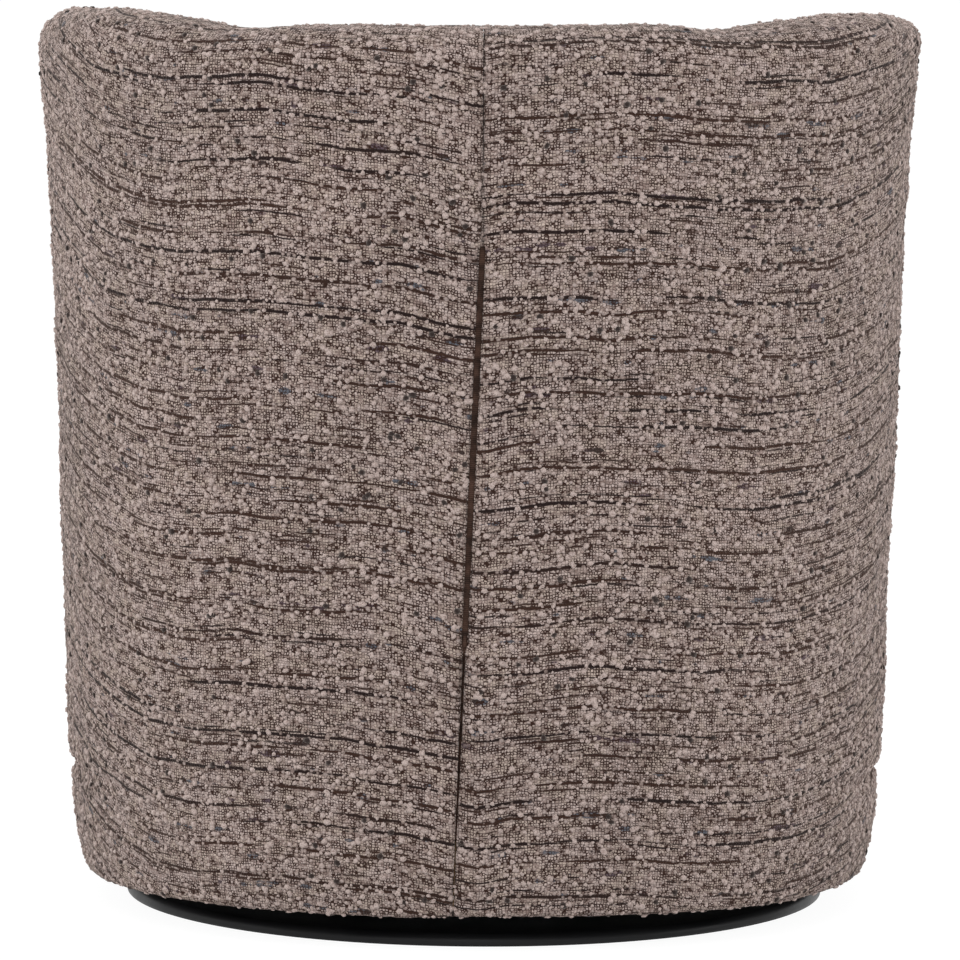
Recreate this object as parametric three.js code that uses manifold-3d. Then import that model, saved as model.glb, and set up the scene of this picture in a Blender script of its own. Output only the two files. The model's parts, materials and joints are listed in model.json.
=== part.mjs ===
// Upholstered swivel rocker: a padded barrel shell with a crowned seat cushion, on a sprung
// rocking mechanism that turns on a low steel disc.
// Millimetres, +Z up, the sitter faces -Y, the sitter's left is +X.
// The origin is on the floor under the middle of the body, on the swivel axis.

import * as THREE from 'three';
import { mergeVertices } from 'three/addons/utils/BufferGeometryUtils.js';
import Module from 'manifold-3d';

const wasm = await Module();
wasm.setup();

const degree = Math.PI / 180;

// Body, over the cloth
const bodyWidth = 760;
const bodyDepth = 760;
const planSquareness = 2.35;
const backHeight = 768;
const cornerRise = 3;
const rimDip = 5.5;
const rimDipTurn = 33 * degree;
const rimDipSpread = 7 * degree;
const rimHorn = 4;
const rimHornTurn = 57 * degree;
const rimHornSpread = 10 * degree;
const armFrontHeight = 610;
const armFallStart = 35;
const armFallRound = 60;
const hemHeight = 31;
const seatHeight = 440;
const backPadEnd = 60 * degree;
const armRailStart = 82 * degree;
const armEnd = 132 * degree;
const sidePanelStart = 93.75 * degree;

// Outside of the body: how far it leans, waists, and steps in at the crease above the lower band
const bodyLean = 26;
const waistDip = 5.5;
const waistPower = 8;
const creaseHeight = 107;
const creaseReach = 13;
const creaseFadedReach = 55;
const creaseNotch = 3;
const creaseFadeStart = 35 * degree;
const creaseFadeEnd = 75 * degree;
const bandDepth = 4.5;
const bandRound = 84;
const hemTuck = 5.3;
const hemPower = 1.7;

// Wall of the body, from its outside inwards
const coverThickness = 15.5;
const frameClearance = 0.5;
const frameDepth = 30;
const padClearance = 0.7;
const wallThickness = 88;
const padSwell = 8;
const rimHeight = 64;
const rimWidestDrop = 36;
const touchGap = 0.3;

// Centre back seam and its concealed zip
const seamOffsetTop = -3.5;
const seamOffsetFoot = 18;
const zipTopDrop = 178;
const zipTop = backHeight - zipTopDrop;
const zipFoot = 258;
const zipGroove = 6;
const zipTapeWidth = 5.2;
const zipTapeThickness = 2.4;
const zipRecess = 5.5;
const zipSliderWidth = 4.6;
const zipSliderHeight = 11;
const zipSliderThickness = 3;

// Timber frame
const hoopBottom = 38;
const hoopTop = 190;
const hoopThickness = 22;
const railHeight = 32;
const postWidth = 36;
const backPostAngle = 24 * degree;
const sidePostAngle = 75 * degree;
const armPostAngle = 122 * degree;
const frontPostAngle = 160 * degree;
const seatRingBottom = 262;
const seatRingTop = 300;
const seatRingWidth = 42;
const mountRailWidth = 44;
const mountRailHeight = 34;
const dustCoverThickness = 2;
const dustCoverHoleRadius = 190;

// Seat suspension
const seatSpringPlaces = [-165, -55, 55, 165];
const seatSpringWire = 3.8;
const seatSpringSwing = 20;
const seatSpringPitch = 56;
const seatSpringBearingLength = 26;
const deckClearance = 2;
const deckThickness = 12.6;
const padFootGap = 5.5;

// Seat cushion
const cushionClearance = 3;
const cushionCrown = 15;
const cushionCrownReach = 70;
const cushionDrawIn = 7;
const cushionOverhang = 17;
const cushionEarStart = armEnd + 1.1 * degree;
const cushionEarEnd = armEnd + 8 * degree;

// Steel disc that stands on the floor, and its rubber pad
const discRadius = 305;
const discHeight = 11;
const discSheet = 3;
const discLip = 0.5;
const discShoulder = 8;
const footPadInset = 15;
const footPadRadius = discRadius - footPadInset;

// Ball bearing and its centre bolt
const ballRadius = 4.5;
const ballCircleRadius = 90;
const ballCount = 12;
const raceOuterRadius = 118;
const raceBoreRadius = 14;
const raceThickness = 5.7;
const grooveHalfWidth = 5;
const grooveFlatHalf = 3;
const grooveDepth = 1.8;
const cageWidth = 12;
const cageThickness = 2.6;
const centreBoltRadius = 10;
const centreNutRadius = 17;
const centreNutHeight = 10;
const centreBoltProud = 3;
const centreBoltClearance = 0.4;

// Rocking mechanism
const pivotHeight = 75;
const mechanismSheet = 4;
const cradleWidth = 240;
const cradleDepth = 230;
const cheekFootHalf = 95;
const cheekHeadRadius = 20;
const cheekInset = 4;
const rockerWidth = 220;
const rockerDepth = 230;
const rockerPlateHeight = 112;
const earFootHalf = 60;
const earHeadRadius = 18;
const earClearance = 4;
const pinRadius = 8;
const pinHeadRadius = 12;
const pinHeadThickness = 4;
const pinTail = 4;
const bushRadius = 11;
const bushFlangeRadius = 16;
const bushTail = 0.5;

// Coil springs and rubber stops of the rocking mechanism
const coilPlaceX = 60;
const coilPlaceY = 65;
const coilRadius = 16;
const coilWire = 2.5;
const coilTurns = 6;
const coilStepsPerTurn = 8;
const coilSides = 5;
const stopPlaceY = 92;
const stopRadius = 14;
const stopGap = 7.5;

// Bolts that hold the mechanism to the mounting rails
const boltPlaceX = 85;
const boltPlaceY = 100;
const boltRadius = 4;
const boltHeadRadius = 8;
const boltHeadHeight = 5;
const boltReach = 24;
const boltTipGap = 1;

// Fineness of the faceted solids
const facet = 7.5 * degree;
const roundSegments = 48;
const raceSegments = 32;
const smallSegments = 16;
const ballSegments = 8;
const ballRings = 5;
const hexSegments = 6;
const crestPasses = 6;
const searchPasses = 60;
const headSegments = 8;
const angleTolerance = 1e-6;
const mergeTolerance = 1e-4;
const cutOverrun = 2;

// Colours and surfaces
const cloth = { color: 0x877870, roughness: 0.95, metalness: 0 };
const timber = { color: 0xc49a6c, roughness: 0.75, metalness: 0 };
const foam = { color: 0xe6dcc8, roughness: 0.9, metalness: 0 };
const blackSteel = { color: 0x1c1c1d, roughness: 0.45, metalness: 0.6 };
const zincSteel = { color: 0xa9abab, roughness: 0.35, metalness: 0.9 };
const springSteel = { color: 0x55565a, roughness: 0.4, metalness: 0.9 };
const blackRubber = { color: 0x151515, roughness: 0.85, metalness: 0 };
const nylon = { color: 0xe8e6de, roughness: 0.5, metalness: 0 };
const blackCloth = { color: 0x1a1a1a, roughness: 0.95, metalness: 0 };
const zipBrown = { color: 0x412a20, roughness: 0.6, metalness: 0 };

const chair = new THREE.Group();

// Adds a named piece with its own material.
function addPiece(name, geometry, finish, parent = chair) {
  const piece = new THREE.Mesh(geometry, new THREE.MeshStandardMaterial(finish));
  piece.name = name;
  parent.add(piece);
  return piece;
}

function smoothstep(share) {
  const t = Math.min(1, Math.max(0, share));
  return t * t * (3 - 2 * t);
}

function mix(from, to, share) {
  return from + (to - from) * share;
}

// Shape of the barrel

const rimWidest = backHeight - rimWidestDrop;

// How far the straight lean line stands in from the widest outline at height z.
function leanAt(z) {
  return (bodyLean * (rimWidest - z)) / (rimWidest - creaseHeight);
}

// Distance from the axis to a rounded-square outline, at an angle turned from +Y towards +X.
function outlineReach(angle, inset) {
  const across = Math.abs(Math.sin(angle)) / (bodyWidth / 2);
  const along = Math.abs(Math.cos(angle)) / (bodyDepth / 2);
  return (across ** planSquareness + along ** planSquareness) ** (-1 / planSquareness) - inset;
}

// The two facet corners on either side of an angle, and where the angle lies between them.
function facetAround(angle) {
  const place = Math.floor(angle / facet - 1 / 2 + angleTolerance);
  const low = (place + 1 / 2) * facet;
  return { low, high: low + facet, share: (angle - low) / facet };
}

// Distance from the axis to the faceted outline that every shell and rail shares.
function facetReach(angle, inset) {
  const { low, high } = facetAround(angle);
  const near = outlineReach(low, inset);
  const far = outlineReach(high, inset);
  const spread = near * Math.sin(angle - low) + far * Math.sin(high - angle);
  return (near * far * Math.sin(high - low)) / spread;
}

function polarPoint(angle, reach, z) {
  return new THREE.Vector3(reach * Math.sin(angle), reach * Math.cos(angle), z);
}

// A point at a depth inside the leaning wall.
function wallPoint(angle, depth, z) {
  return polarPoint(angle, facetReach(angle, leanAt(z) + depth), z);
}

// A smooth bump, 1 at its middle, that fades out beyond its spread.
const bump = (turn, middle, spread) => Math.exp(-(((turn - middle) / spread) ** 2));

// How the crest waves along the back at a facet corner: a dip on each side of the middle, a low
// horn beyond it, and a slight rise to the sides.
function waveCurve(angle) {
  const turn = Math.abs(angle);
  const rise = cornerRise * smoothstep(turn / backPadEnd);
  const horn = rimHorn * bump(turn, rimHornTurn, rimHornSpread);
  return rise + horn - rimDip * bump(turn, rimDipTurn, rimDipSpread);
}

// How far the arm has fallen at a place y: level, then rounded into a straight slope to its front.
const armFrontY = polarPoint(armEnd, outlineReach(armEnd, wallThickness / 2), 0).y;
const slopeFrom = armFallStart - armFallRound;
const armSlope = (backHeight + cornerRise - armFrontHeight) / (slopeFrom - armFrontY);

function armFall(y) {
  const past = slopeFrom - y;
  if (past >= armFallRound) return armSlope * past;
  return (armSlope * Math.max(0, past + armFallRound) ** 2) / (4 * armFallRound);
}

// Height of the rim's crest over a depth in the wall, at a facet corner.
function crestAtCorner(angle, depth) {
  let z = backHeight;
  for (let pass = 0; pass < crestPasses; pass++) {
    z = backHeight + waveCurve(angle) - armFall(wallPoint(angle, depth, z).y);
  }
  return z;
}

// The same at any angle, straight from one facet corner to the next.
function crestAt(angle, depth) {
  const { low, high, share } = facetAround(angle);
  return mix(crestAtCorner(low, depth), crestAtCorner(high, depth), share);
}

// Heights of the layers under the rim roll.
const rollFootAt = (angle, depth) => crestAt(angle, depth) - rimHeight;
const wallTopAt = (angle, depth) => rollFootAt(angle, depth) - touchGap;
const railBottomAt = (angle, depth) => wallTopAt(angle, depth) - railHeight;

// Depth of the cloth's outer face behind the lean line: the waist, the crease, the band and its hem.
function coverDepth(z, angle) {
  const fade = smoothstep((Math.abs(angle) - creaseFadeStart) / (creaseFadeEnd - creaseFadeStart));
  const reach = mix(creaseFadedReach, creaseReach, fade);
  const rise = Math.max(0, (z - creaseHeight) / (rimWidest - creaseHeight));
  const upper = waistDip * rise * (1 - Math.min(1, rise) ** waistPower);
  const drop = Math.min(1, Math.max(0, (bandRound - z) / (bandRound - hemHeight)));
  const band = bandDepth + hemTuck * drop ** hemPower;
  const away = Math.min(1, Math.abs(z - creaseHeight) / creaseReach);
  const notch = creaseNotch * fade * Math.cos((Math.PI * away) / 2) ** 2;
  return mix(band, upper, smoothstep((z - creaseHeight + reach) / (2 * reach))) + notch;
}

// Sideways place of the centre back seam at height z: it leans towards +X below the zip's top.
function seamOffset(z) {
  const share = Math.max(0, (zipTop - z) / (zipTop - hemHeight));
  return mix(seamOffsetTop, seamOffsetFoot, share);
}

// Lofted solids

// Angles from one end to the other, with each facet corner between them.
function sweepAngles(from, to) {
  const angles = [from];
  const first = Math.ceil(from / facet - 1 / 2 + angleTolerance);
  for (let place = first; (place + 1 / 2) * facet < to - angleTolerance; place++) {
    angles.push((place + 1 / 2) * facet);
  }
  angles.push(to);
  return angles;
}

function signedArea(points) {
  return THREE.ShapeUtils.area(points);
}

function signedVolume(positions, index) {
  let volume = 0;
  const corner = [new THREE.Vector3(), new THREE.Vector3(), new THREE.Vector3()];
  for (let i = 0; i < index.length; i += 3) {
    corner.forEach((point, k) => point.fromArray(positions, index[i + k] * 3));
    volume += corner[0].dot(corner[1].clone().cross(corner[2])) / 6;
  }
  return volume;
}

// Turns a closed geometry's faces to point out.
function facingOut(geometry) {
  const index = Array.from(geometry.index.array);
  const inward = signedVolume(geometry.attributes.position.array, index) < 0;
  geometry.setIndex(inward ? index.reverse() : index);
  return geometry;
}

// Closed geometry from its corner points and triangles.
function closedGeometry(points, index) {
  const positions = points.flatMap((point) => point.toArray());
  const geometry = new THREE.BufferGeometry();
  geometry.setAttribute('position', new THREE.Float32BufferAttribute(positions, 3));
  geometry.setIndex(index);
  return facingOut(geometry);
}

// Solid through a row of closed outlines of equal count. A closed row joins its last to its first.
// Each four-sided face is split the same way, so that faces that lie on each other stay clear.
function loft(columns, closed) {
  const flat = columns[0].map((point) => new THREE.Vector2(Math.hypot(point.x, point.y), point.z));
  const rows = signedArea(flat) < 0 ? columns.map((column) => column.slice().reverse()) : columns;
  const outline = signedArea(flat) < 0 ? flat.slice().reverse() : flat;
  const sides = outline.length;
  const index = [];
  const spans = closed ? rows.length : rows.length - 1;
  for (let i = 0; i < spans; i++) {
    const here = i * sides;
    const next = ((i + 1) % rows.length) * sides;
    for (let j = 0; j < sides; j++) {
      const k = (j + 1) % sides;
      const [a, b, c, d] = [here + j, here + k, next + k, next + j];
      if (outline[j].x > outline[k].x) index.push(a, b, c, a, c, d);
      else index.push(b, c, d, b, d, a);
    }
  }
  if (!closed) {
    const last = (rows.length - 1) * sides;
    for (const [a, b, c] of THREE.ShapeUtils.triangulateShape(outline, [])) {
      index.push(c, b, a, last + a, last + b, last + c);
    }
  }
  return closedGeometry(rows.flat(), index);
}

// Part of the wall between two angles, from a section of [depth, z] corners at each.
function wallSector(from, to, sectionAt) {
  const columns = sweepAngles(from, to).map((angle) =>
    sectionAt(angle).map(([depth, z]) => wallPoint(angle, depth, z)));
  return loft(columns, false);
}

// Whole ring of the wall, with an optional inner outline of its own.
function wallRing(pointsAt) {
  const count = Math.round((2 * Math.PI) / facet);
  const columns = Array.from({ length: count }, (_, i) => pointsAt((i + 1 / 2) * facet));
  return loft(columns, true);
}

// Box-shaped section of the wall between two depths and two heights.
function boxSection(outer, inner, bottom, top) {
  return [[outer, bottom], [outer, top], [inner, top], [inner, bottom]];
}

// Section of the wall between two depths whose top and bottom follow the crest.
function crestSection(angle, outer, inner, bottomAt, topAt) {
  return [
    [outer, bottomAt(angle, outer)],
    [outer, topAt(angle, outer)],
    [inner, topAt(angle, inner)],
    [inner, bottomAt(angle, inner)],
  ];
}

// Booleans

function solidOf(geometry) {
  const bare = geometry.clone();
  bare.deleteAttribute('normal');
  bare.deleteAttribute('uv');
  const merged = mergeVertices(bare, mergeTolerance);
  const index = merged.index.array;
  const kept = [];
  for (let i = 0; i < index.length; i += 3) {
    const [a, b, c] = [index[i], index[i + 1], index[i + 2]];
    if (a !== b && b !== c && c !== a) kept.push(a, b, c);
  }
  return new wasm.Manifold(new wasm.Mesh({
    numProp: 3,
    vertProperties: new Float32Array(merged.attributes.position.array),
    triVerts: new Uint32Array(kept),
  }));
}

function geometryOf(solid) {
  const { vertProperties, triVerts } = solid.getMesh();
  const geometry = new THREE.BufferGeometry();
  geometry.setAttribute('position', new THREE.BufferAttribute(new Float32Array(vertProperties), 3));
  geometry.setIndex(new THREE.BufferAttribute(new Uint32Array(triVerts), 1));
  return geometry;
}

function joined(geometries) {
  return geometryOf(geometries.map(solidOf).reduce((whole, next) => whole.add(next)));
}

function cutFrom(geometry, tools) {
  return geometryOf(tools.map(solidOf).reduce((whole, tool) => whole.subtract(tool), solidOf(geometry)));
}

function keptWithin(geometry, tool) {
  return geometryOf(solidOf(geometry).intersect(solidOf(tool)));
}

// Plain shapes in place

function boxBetween(low, high) {
  const size = high.map((value, i) => value - low[i]);
  const middle = high.map((value, i) => (value + low[i]) / 2);
  return new THREE.BoxGeometry(...size).translate(...middle);
}

// Cylinder along Z between two heights.
function uprightCylinder(radius, bottom, top, x = 0, y = 0, segments = smallSegments) {
  return new THREE.CylinderGeometry(radius, radius, top - bottom, segments)
    .rotateX(Math.PI / 2)
    .translate(x, y, (bottom + top) / 2);
}

// Cylinder along X between two places, at the rocking axis.
function crossCylinder(radius, from, to) {
  return new THREE.CylinderGeometry(radius, radius, to - from, smallSegments)
    .rotateZ(Math.PI / 2)
    .translate((from + to) / 2, 0, pivotHeight);
}

// Body turned about Z from a profile of [radius, z] corners.
function turned(profile, segments = roundSegments) {
  const points = profile.map(([radius, z]) => new THREE.Vector2(radius, z));
  return facingOut(new THREE.LatheGeometry(points, segments).rotateX(Math.PI / 2));
}

// Closed ring turned about Z from a profile that stays off the axis.
function turnedRing(profile, segments = roundSegments) {
  return turned([...profile, profile[0]], segments);
}

// Steel disc and its rubber pad

function steelDisc() {
  const shoulder = discRadius - discShoulder;
  return turned([
    [0, discHeight - discSheet],
    [shoulder - discSheet, discHeight - discSheet],
    [discRadius - discSheet, discLip + discSheet],
    [discRadius - discSheet, discLip],
    [discRadius, discLip],
    [discRadius, discLip + discSheet],
    [discRadius - discSheet, discHeight - discSheet / 2],
    [shoulder, discHeight],
    [0, discHeight],
  ]);
}

const footPadTop = discHeight - discSheet - touchGap;
addPiece('base_disc', steelDisc(), blackSteel);
addPiece('floor_pad', uprightCylinder(footPadRadius, 0, footPadTop, 0, 0, roundSegments), blackRubber);

// Ball bearing between the disc and the cradle

const lowerRaceBottom = discHeight + touchGap;
const lowerRaceTop = lowerRaceBottom + raceThickness;
const ballHeight = lowerRaceTop - grooveDepth + touchGap + ballRadius;
const upperRaceBottom = 2 * ballHeight - lowerRaceTop;
const upperRaceTop = upperRaceBottom + raceThickness;

// Race profile from its plain face to its grooved face.
function raceProfile(plain, grooved) {
  const inwards = Math.sign(plain - grooved);
  return [
    [raceBoreRadius, plain],
    [raceOuterRadius, plain],
    [raceOuterRadius, grooved],
    [ballCircleRadius + grooveHalfWidth, grooved],
    [ballCircleRadius + grooveFlatHalf, grooved + inwards * grooveDepth],
    [ballCircleRadius - grooveFlatHalf, grooved + inwards * grooveDepth],
    [ballCircleRadius - grooveHalfWidth, grooved],
    [raceBoreRadius, grooved],
  ];
}

function ballCage() {
  const inner = ballCircleRadius - cageWidth / 2;
  const outer = ballCircleRadius + cageWidth / 2;
  const low = ballHeight - cageThickness / 2;
  const high = ballHeight + cageThickness / 2;
  const ring = turnedRing([[inner, low], [outer, low], [outer, high], [inner, high]], raceSegments);
  const balls = Array.from({ length: ballCount }, (_, i) => {
    const angle = (2 * Math.PI * i) / ballCount;
    return new THREE.SphereGeometry(ballRadius, ballSegments, ballRings)
      .rotateX(Math.PI / 2)
      .translate(ballCircleRadius * Math.cos(angle), ballCircleRadius * Math.sin(angle), ballHeight);
  });
  return joined([ring, ...balls]);
}

addPiece('lower_race', turnedRing(raceProfile(lowerRaceBottom, lowerRaceTop), raceSegments), zincSteel);
addPiece('ball_cage', ballCage(), zincSteel);
addPiece('upper_race', turnedRing(raceProfile(upperRaceTop, upperRaceBottom), raceSegments), zincSteel);

// Rocking mechanism

const cradleBottom = upperRaceTop + touchGap;
const cradleTop = cradleBottom + mechanismSheet;
const cheekOuter = cradleWidth / 2 - cheekInset;
const cheekInner = cheekOuter - mechanismSheet;
const earOuter = cheekInner - earClearance;
const earInner = earOuter - mechanismSheet;
const rockerTop = rockerPlateHeight + mechanismSheet;
const nutBottom = cradleTop + touchGap;
const nutTop = nutBottom + centreNutHeight;

// Upright sheet in the plane across X, from an outline of (y, z).
function uprightSheet(outline, from, to) {
  const sheet = { depth: to - from, bevelEnabled: false, curveSegments: headSegments };
  return new THREE.ExtrudeGeometry(outline, sheet)
    .applyMatrix4(new THREE.Matrix4().makeBasis(
      new THREE.Vector3(0, 1, 0),
      new THREE.Vector3(0, 0, 1),
      new THREE.Vector3(1, 0, 0),
    ))
    .translate(from, 0, 0);
}

// Tapered side sheet whose rounded head holds the pivot. The head points up or down from its foot.
function pivotSheet(footHalf, foot, headRadius, from, to) {
  const up = foot < pivotHeight;
  const outline = new THREE.Shape();
  outline.moveTo(-footHalf, foot);
  outline.lineTo(footHalf, foot);
  outline.lineTo(headRadius, pivotHeight);
  outline.absarc(0, pivotHeight, headRadius, 0, up ? Math.PI : -Math.PI, !up);
  return uprightSheet(outline, from, to);
}

function cradle() {
  const plate = boxBetween(
    [-cradleWidth / 2, -cradleDepth / 2, cradleBottom],
    [cradleWidth / 2, cradleDepth / 2, cradleTop],
  );
  const foot = cradleTop - mechanismSheet / 2;
  const cheeks = [
    pivotSheet(cheekFootHalf, foot, cheekHeadRadius, cheekInner, cheekOuter),
    pivotSheet(cheekFootHalf, foot, cheekHeadRadius, -cheekOuter, -cheekInner),
  ];
  const holeRadius = centreBoltRadius + centreBoltClearance;
  return cutFrom(joined([plate, ...cheeks]), [
    uprightCylinder(holeRadius, cradleBottom - cutOverrun, cradleTop + cutOverrun),
    crossCylinder(pinRadius + touchGap, -cheekOuter - cutOverrun, cheekOuter + cutOverrun),
  ]);
}

function rocker() {
  const plate = boxBetween(
    [-rockerWidth / 2, -rockerDepth / 2, rockerPlateHeight],
    [rockerWidth / 2, rockerDepth / 2, rockerTop],
  );
  const foot = rockerPlateHeight + mechanismSheet / 2;
  const ears = [
    pivotSheet(earFootHalf, foot, earHeadRadius, earInner, earOuter),
    pivotSheet(earFootHalf, foot, earHeadRadius, -earOuter, -earInner),
  ];
  const boltHoles = boltPlaces().map(([x, y]) =>
    uprightCylinder(boltRadius + touchGap, rockerPlateHeight - cutOverrun, rockerTop + cutOverrun, x, y));
  return cutFrom(joined([plate, ...ears]), [
    crossCylinder(bushRadius + touchGap, -earOuter - cutOverrun, earOuter + cutOverrun),
    ...boltHoles,
  ]);
}

// The four bolt places, left to right and front to back.
function boltPlaces() {
  return [1, -1].flatMap((side) => [-1, 1].map((end) => [side * boltPlaceX, end * boltPlaceY]));
}

// Turned piece about the rocking axis, from a profile of [radius, x] corners, on one side.
function turnedAcross(profile, side) {
  const points = profile.map(([radius, x]) => new THREE.Vector2(radius, x));
  const geometry = new THREE.LatheGeometry(points, smallSegments).rotateZ(-Math.PI / 2);
  if (side < 0) geometry.rotateZ(Math.PI);
  return facingOut(geometry).translate(0, 0, pivotHeight);
}

function pivotPin(side) {
  const headFrom = cheekOuter + touchGap;
  const tail = earInner - pinTail;
  return turnedAcross([
    [0, tail],
    [pinRadius, tail],
    [pinRadius, headFrom],
    [pinHeadRadius, headFrom],
    [pinHeadRadius, headFrom + pinHeadThickness],
    [0, headFrom + pinHeadThickness],
  ], side);
}

function pivotBush(side) {
  const tail = earInner - bushTail;
  const flangeFrom = earOuter + touchGap;
  const flangeTo = cheekInner - touchGap;
  const bore = pinRadius + touchGap;
  return turnedAcross([
    [bore, tail],
    [bushRadius, tail],
    [bushRadius, flangeFrom],
    [bushFlangeRadius, flangeFrom],
    [bushFlangeRadius, flangeTo],
    [bore, flangeTo],
    [bore, tail],
  ], side);
}

// Helix up from the first height to the last, about an upright axis.
class Helix extends THREE.Curve {
  constructor(x, y, radius, bottom, top, turns) {
    super();
    Object.assign(this, { x, y, radius, bottom, top, turns });
  }

  getPoint(share) {
    const angle = 2 * Math.PI * this.turns * share;
    return new THREE.Vector3(
      this.x + this.radius * Math.cos(angle),
      this.y + this.radius * Math.sin(angle),
      mix(this.bottom, this.top, share),
    );
  }
}

function coilSpring(x, y) {
  const bottom = cradleTop + touchGap + coilWire;
  const top = rockerPlateHeight - touchGap - coilWire;
  const wire = new THREE.Shape();
  for (let i = 0; i < coilSides; i++) {
    const angle = (2 * Math.PI * i) / coilSides;
    const point = [coilWire * Math.cos(angle), coilWire * Math.sin(angle)];
    if (i === 0) wire.moveTo(...point);
    else wire.lineTo(...point);
  }
  return new THREE.ExtrudeGeometry(wire, {
    steps: coilTurns * coilStepsPerTurn,
    extrudePath: new Helix(x, y, coilRadius, bottom, top, coilTurns),
  });
}

// Least gap of a coil spring to itself is its pitch less the wire, both measured on its own sizes.
const coilPitch = (rockerPlateHeight - cradleTop - 2 * (touchGap + coilWire)) / coilTurns;
console.log(`coil spring: least gap between turns ${(coilPitch - 2 * coilWire).toFixed(2)} mm`);

// Outline of a rubber stop, in shares of its radius and of its height.
const stopOutlineShares = [[0, 0], [1, 0], [1, 0.33], [0.72, 0.5], [0.86, 0.75], [0.5, 1], [0, 1]];

function rubberStop(end) {
  const bottom = cradleTop + touchGap;
  const top = rockerPlateHeight - stopGap;
  const profile = stopOutlineShares.map(([across, up]) => [across * stopRadius, mix(bottom, top, up)]);
  return turned(profile, smallSegments).translate(0, end * stopPlaceY, 0);
}

function mountBolt(x, y) {
  const headTop = rockerPlateHeight - touchGap;
  const head = uprightCylinder(boltHeadRadius, headTop - boltHeadHeight, headTop, x, y, hexSegments);
  const shank = uprightCylinder(boltRadius, headTop - boltHeadHeight / 2, rockerTop + boltReach, x, y);
  return joined([head, shank]);
}

const centreNut = cutFrom(
  uprightCylinder(centreNutRadius, nutBottom, nutTop, 0, 0, hexSegments),
  [uprightCylinder(centreBoltRadius + touchGap, nutBottom - cutOverrun, nutTop + cutOverrun)],
);

const centreBolt = uprightCylinder(centreBoltRadius, lowerRaceBottom, nutTop + centreBoltProud);
addPiece('centre_bolt', centreBolt, zincSteel);
addPiece('centre_nut', centreNut, zincSteel);
addPiece('rocker_cradle', cradle(), blackSteel);
addPiece('rocker_plate', rocker(), blackSteel);
for (const [name, side] of [['left', 1], ['right', -1]]) {
  addPiece(`pivot_pin_${name}`, pivotPin(side), zincSteel);
  addPiece(`pivot_bush_${name}`, pivotBush(side), nylon);
  for (const [end, way] of [['front', -1], ['back', 1]]) {
    addPiece(`coil_spring_${end}_${name}`, coilSpring(side * coilPlaceX, way * coilPlaceY), springSteel);
  }
}
addPiece('rubber_stop_front', rubberStop(-1), blackRubber);
addPiece('rubber_stop_back', rubberStop(1), blackRubber);
boltPlaces().forEach(([x, y], i) => addPiece(`mount_bolt_${i + 1}`, mountBolt(x, y), zincSteel));

// Timber frame

const frameOuter = coverThickness + frameClearance;
const postInner = frameOuter + frameDepth;
const ringOuter = postInner + touchGap;
const ringInner = ringOuter + seatRingWidth;
const hoopInner = frameOuter + hoopThickness;
const railsBottom = rockerTop + touchGap;

// Largest y that stays inside the wall at a depth, for a given x and z, along a facet.
function roomAlongY(x, depth, z) {
  let near = 0;
  let far = Math.PI / 2;
  for (let pass = 0; pass < searchPasses; pass++) {
    const angle = (near + far) / 2;
    if (wallPoint(angle, depth, z).x < x) near = angle;
    else far = angle;
  }
  return wallPoint(near, depth, z).y;
}

function mountRail(side) {
  const inner = boltPlaceX - mountRailWidth / 2;
  const outer = boltPlaceX + mountRailWidth / 2;
  const end = roomAlongY(outer, hoopInner, railsBottom) - touchGap;
  const xs = side > 0 ? [inner, outer] : [-outer, -inner];
  const rail = boxBetween([xs[0], -end, railsBottom], [xs[1], end, railsBottom + mountRailHeight]);
  const holes = [-1, 1].map((way) => uprightCylinder(
    boltRadius + touchGap,
    railsBottom - cutOverrun,
    rockerTop + boltReach + boltTipGap,
    side * boltPlaceX,
    way * boltPlaceY,
  ));
  return cutFrom(rail, holes);
}

// Upright post at an angle, between the hoop and what it carries.
function post(angle, topAt) {
  const spread = postWidth / 2 / outlineReach(angle, frameOuter + leanAt(hoopTop));
  const footAt = () => hoopTop + touchGap;
  return wallSector(angle - spread, angle + spread, (turn) =>
    crestSection(turn, frameOuter, postInner, footAt, topAt));
}

function topRail(from, to) {
  return wallSector(from, to, (angle) =>
    crestSection(angle, frameOuter, postInner, railBottomAt, wallTopAt));
}

const jointGap = touchGap / (bodyWidth / 2);
const hoopSection = boxSection(frameOuter, hoopInner, hoopBottom, hoopTop);
const ringSection = boxSection(ringOuter, ringInner, seatRingBottom, seatRingTop);
const baseHoop = wallRing((angle) => hoopSection.map(([depth, z]) => wallPoint(angle, depth, z)));
const seatRing = wallRing((angle) => ringSection.map(([depth, z]) => wallPoint(angle, depth, z)));
const dustTop = hoopBottom - touchGap;
const dustBottom = dustTop - dustCoverThickness;
const dustCover = wallRing((angle) => [
  wallPoint(angle, frameOuter, dustBottom),
  wallPoint(angle, frameOuter, dustTop),
  polarPoint(angle, dustCoverHoleRadius, dustTop),
  polarPoint(angle, dustCoverHoleRadius, dustBottom),
]);

const postTopAt = (angle, depth) => railBottomAt(angle, depth) - 2 * touchGap;
const armRailEnd = armEnd - coverThickness / (bodyWidth / 2) - jointGap;

addPiece('base_hoop', baseHoop, timber);
addPiece('seat_ring', seatRing, timber);
addPiece('dust_cover', dustCover, blackCloth);
addPiece('back_top_rail', topRail(-armRailStart, armRailStart), timber);
for (const [name, side] of [['left', 1], ['right', -1]]) {
  addPiece(`mount_rail_${name}`, mountRail(side), timber);
  addPiece(`back_post_${name}`, post(side * backPostAngle, postTopAt), timber);
  addPiece(`side_post_${name}`, post(side * sidePostAngle, postTopAt), timber);
  addPiece(`arm_post_${name}`, post(side * armPostAngle, postTopAt), timber);
  addPiece(`front_post_${name}`, post(side * frontPostAngle, () => seatRingTop), timber);
  const ends = [armRailStart + jointGap, armRailEnd].map((angle) => side * angle).sort((a, b) => a - b);
  addPiece(`arm_rail_${name}`, topRail(...ends), timber);
}

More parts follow.
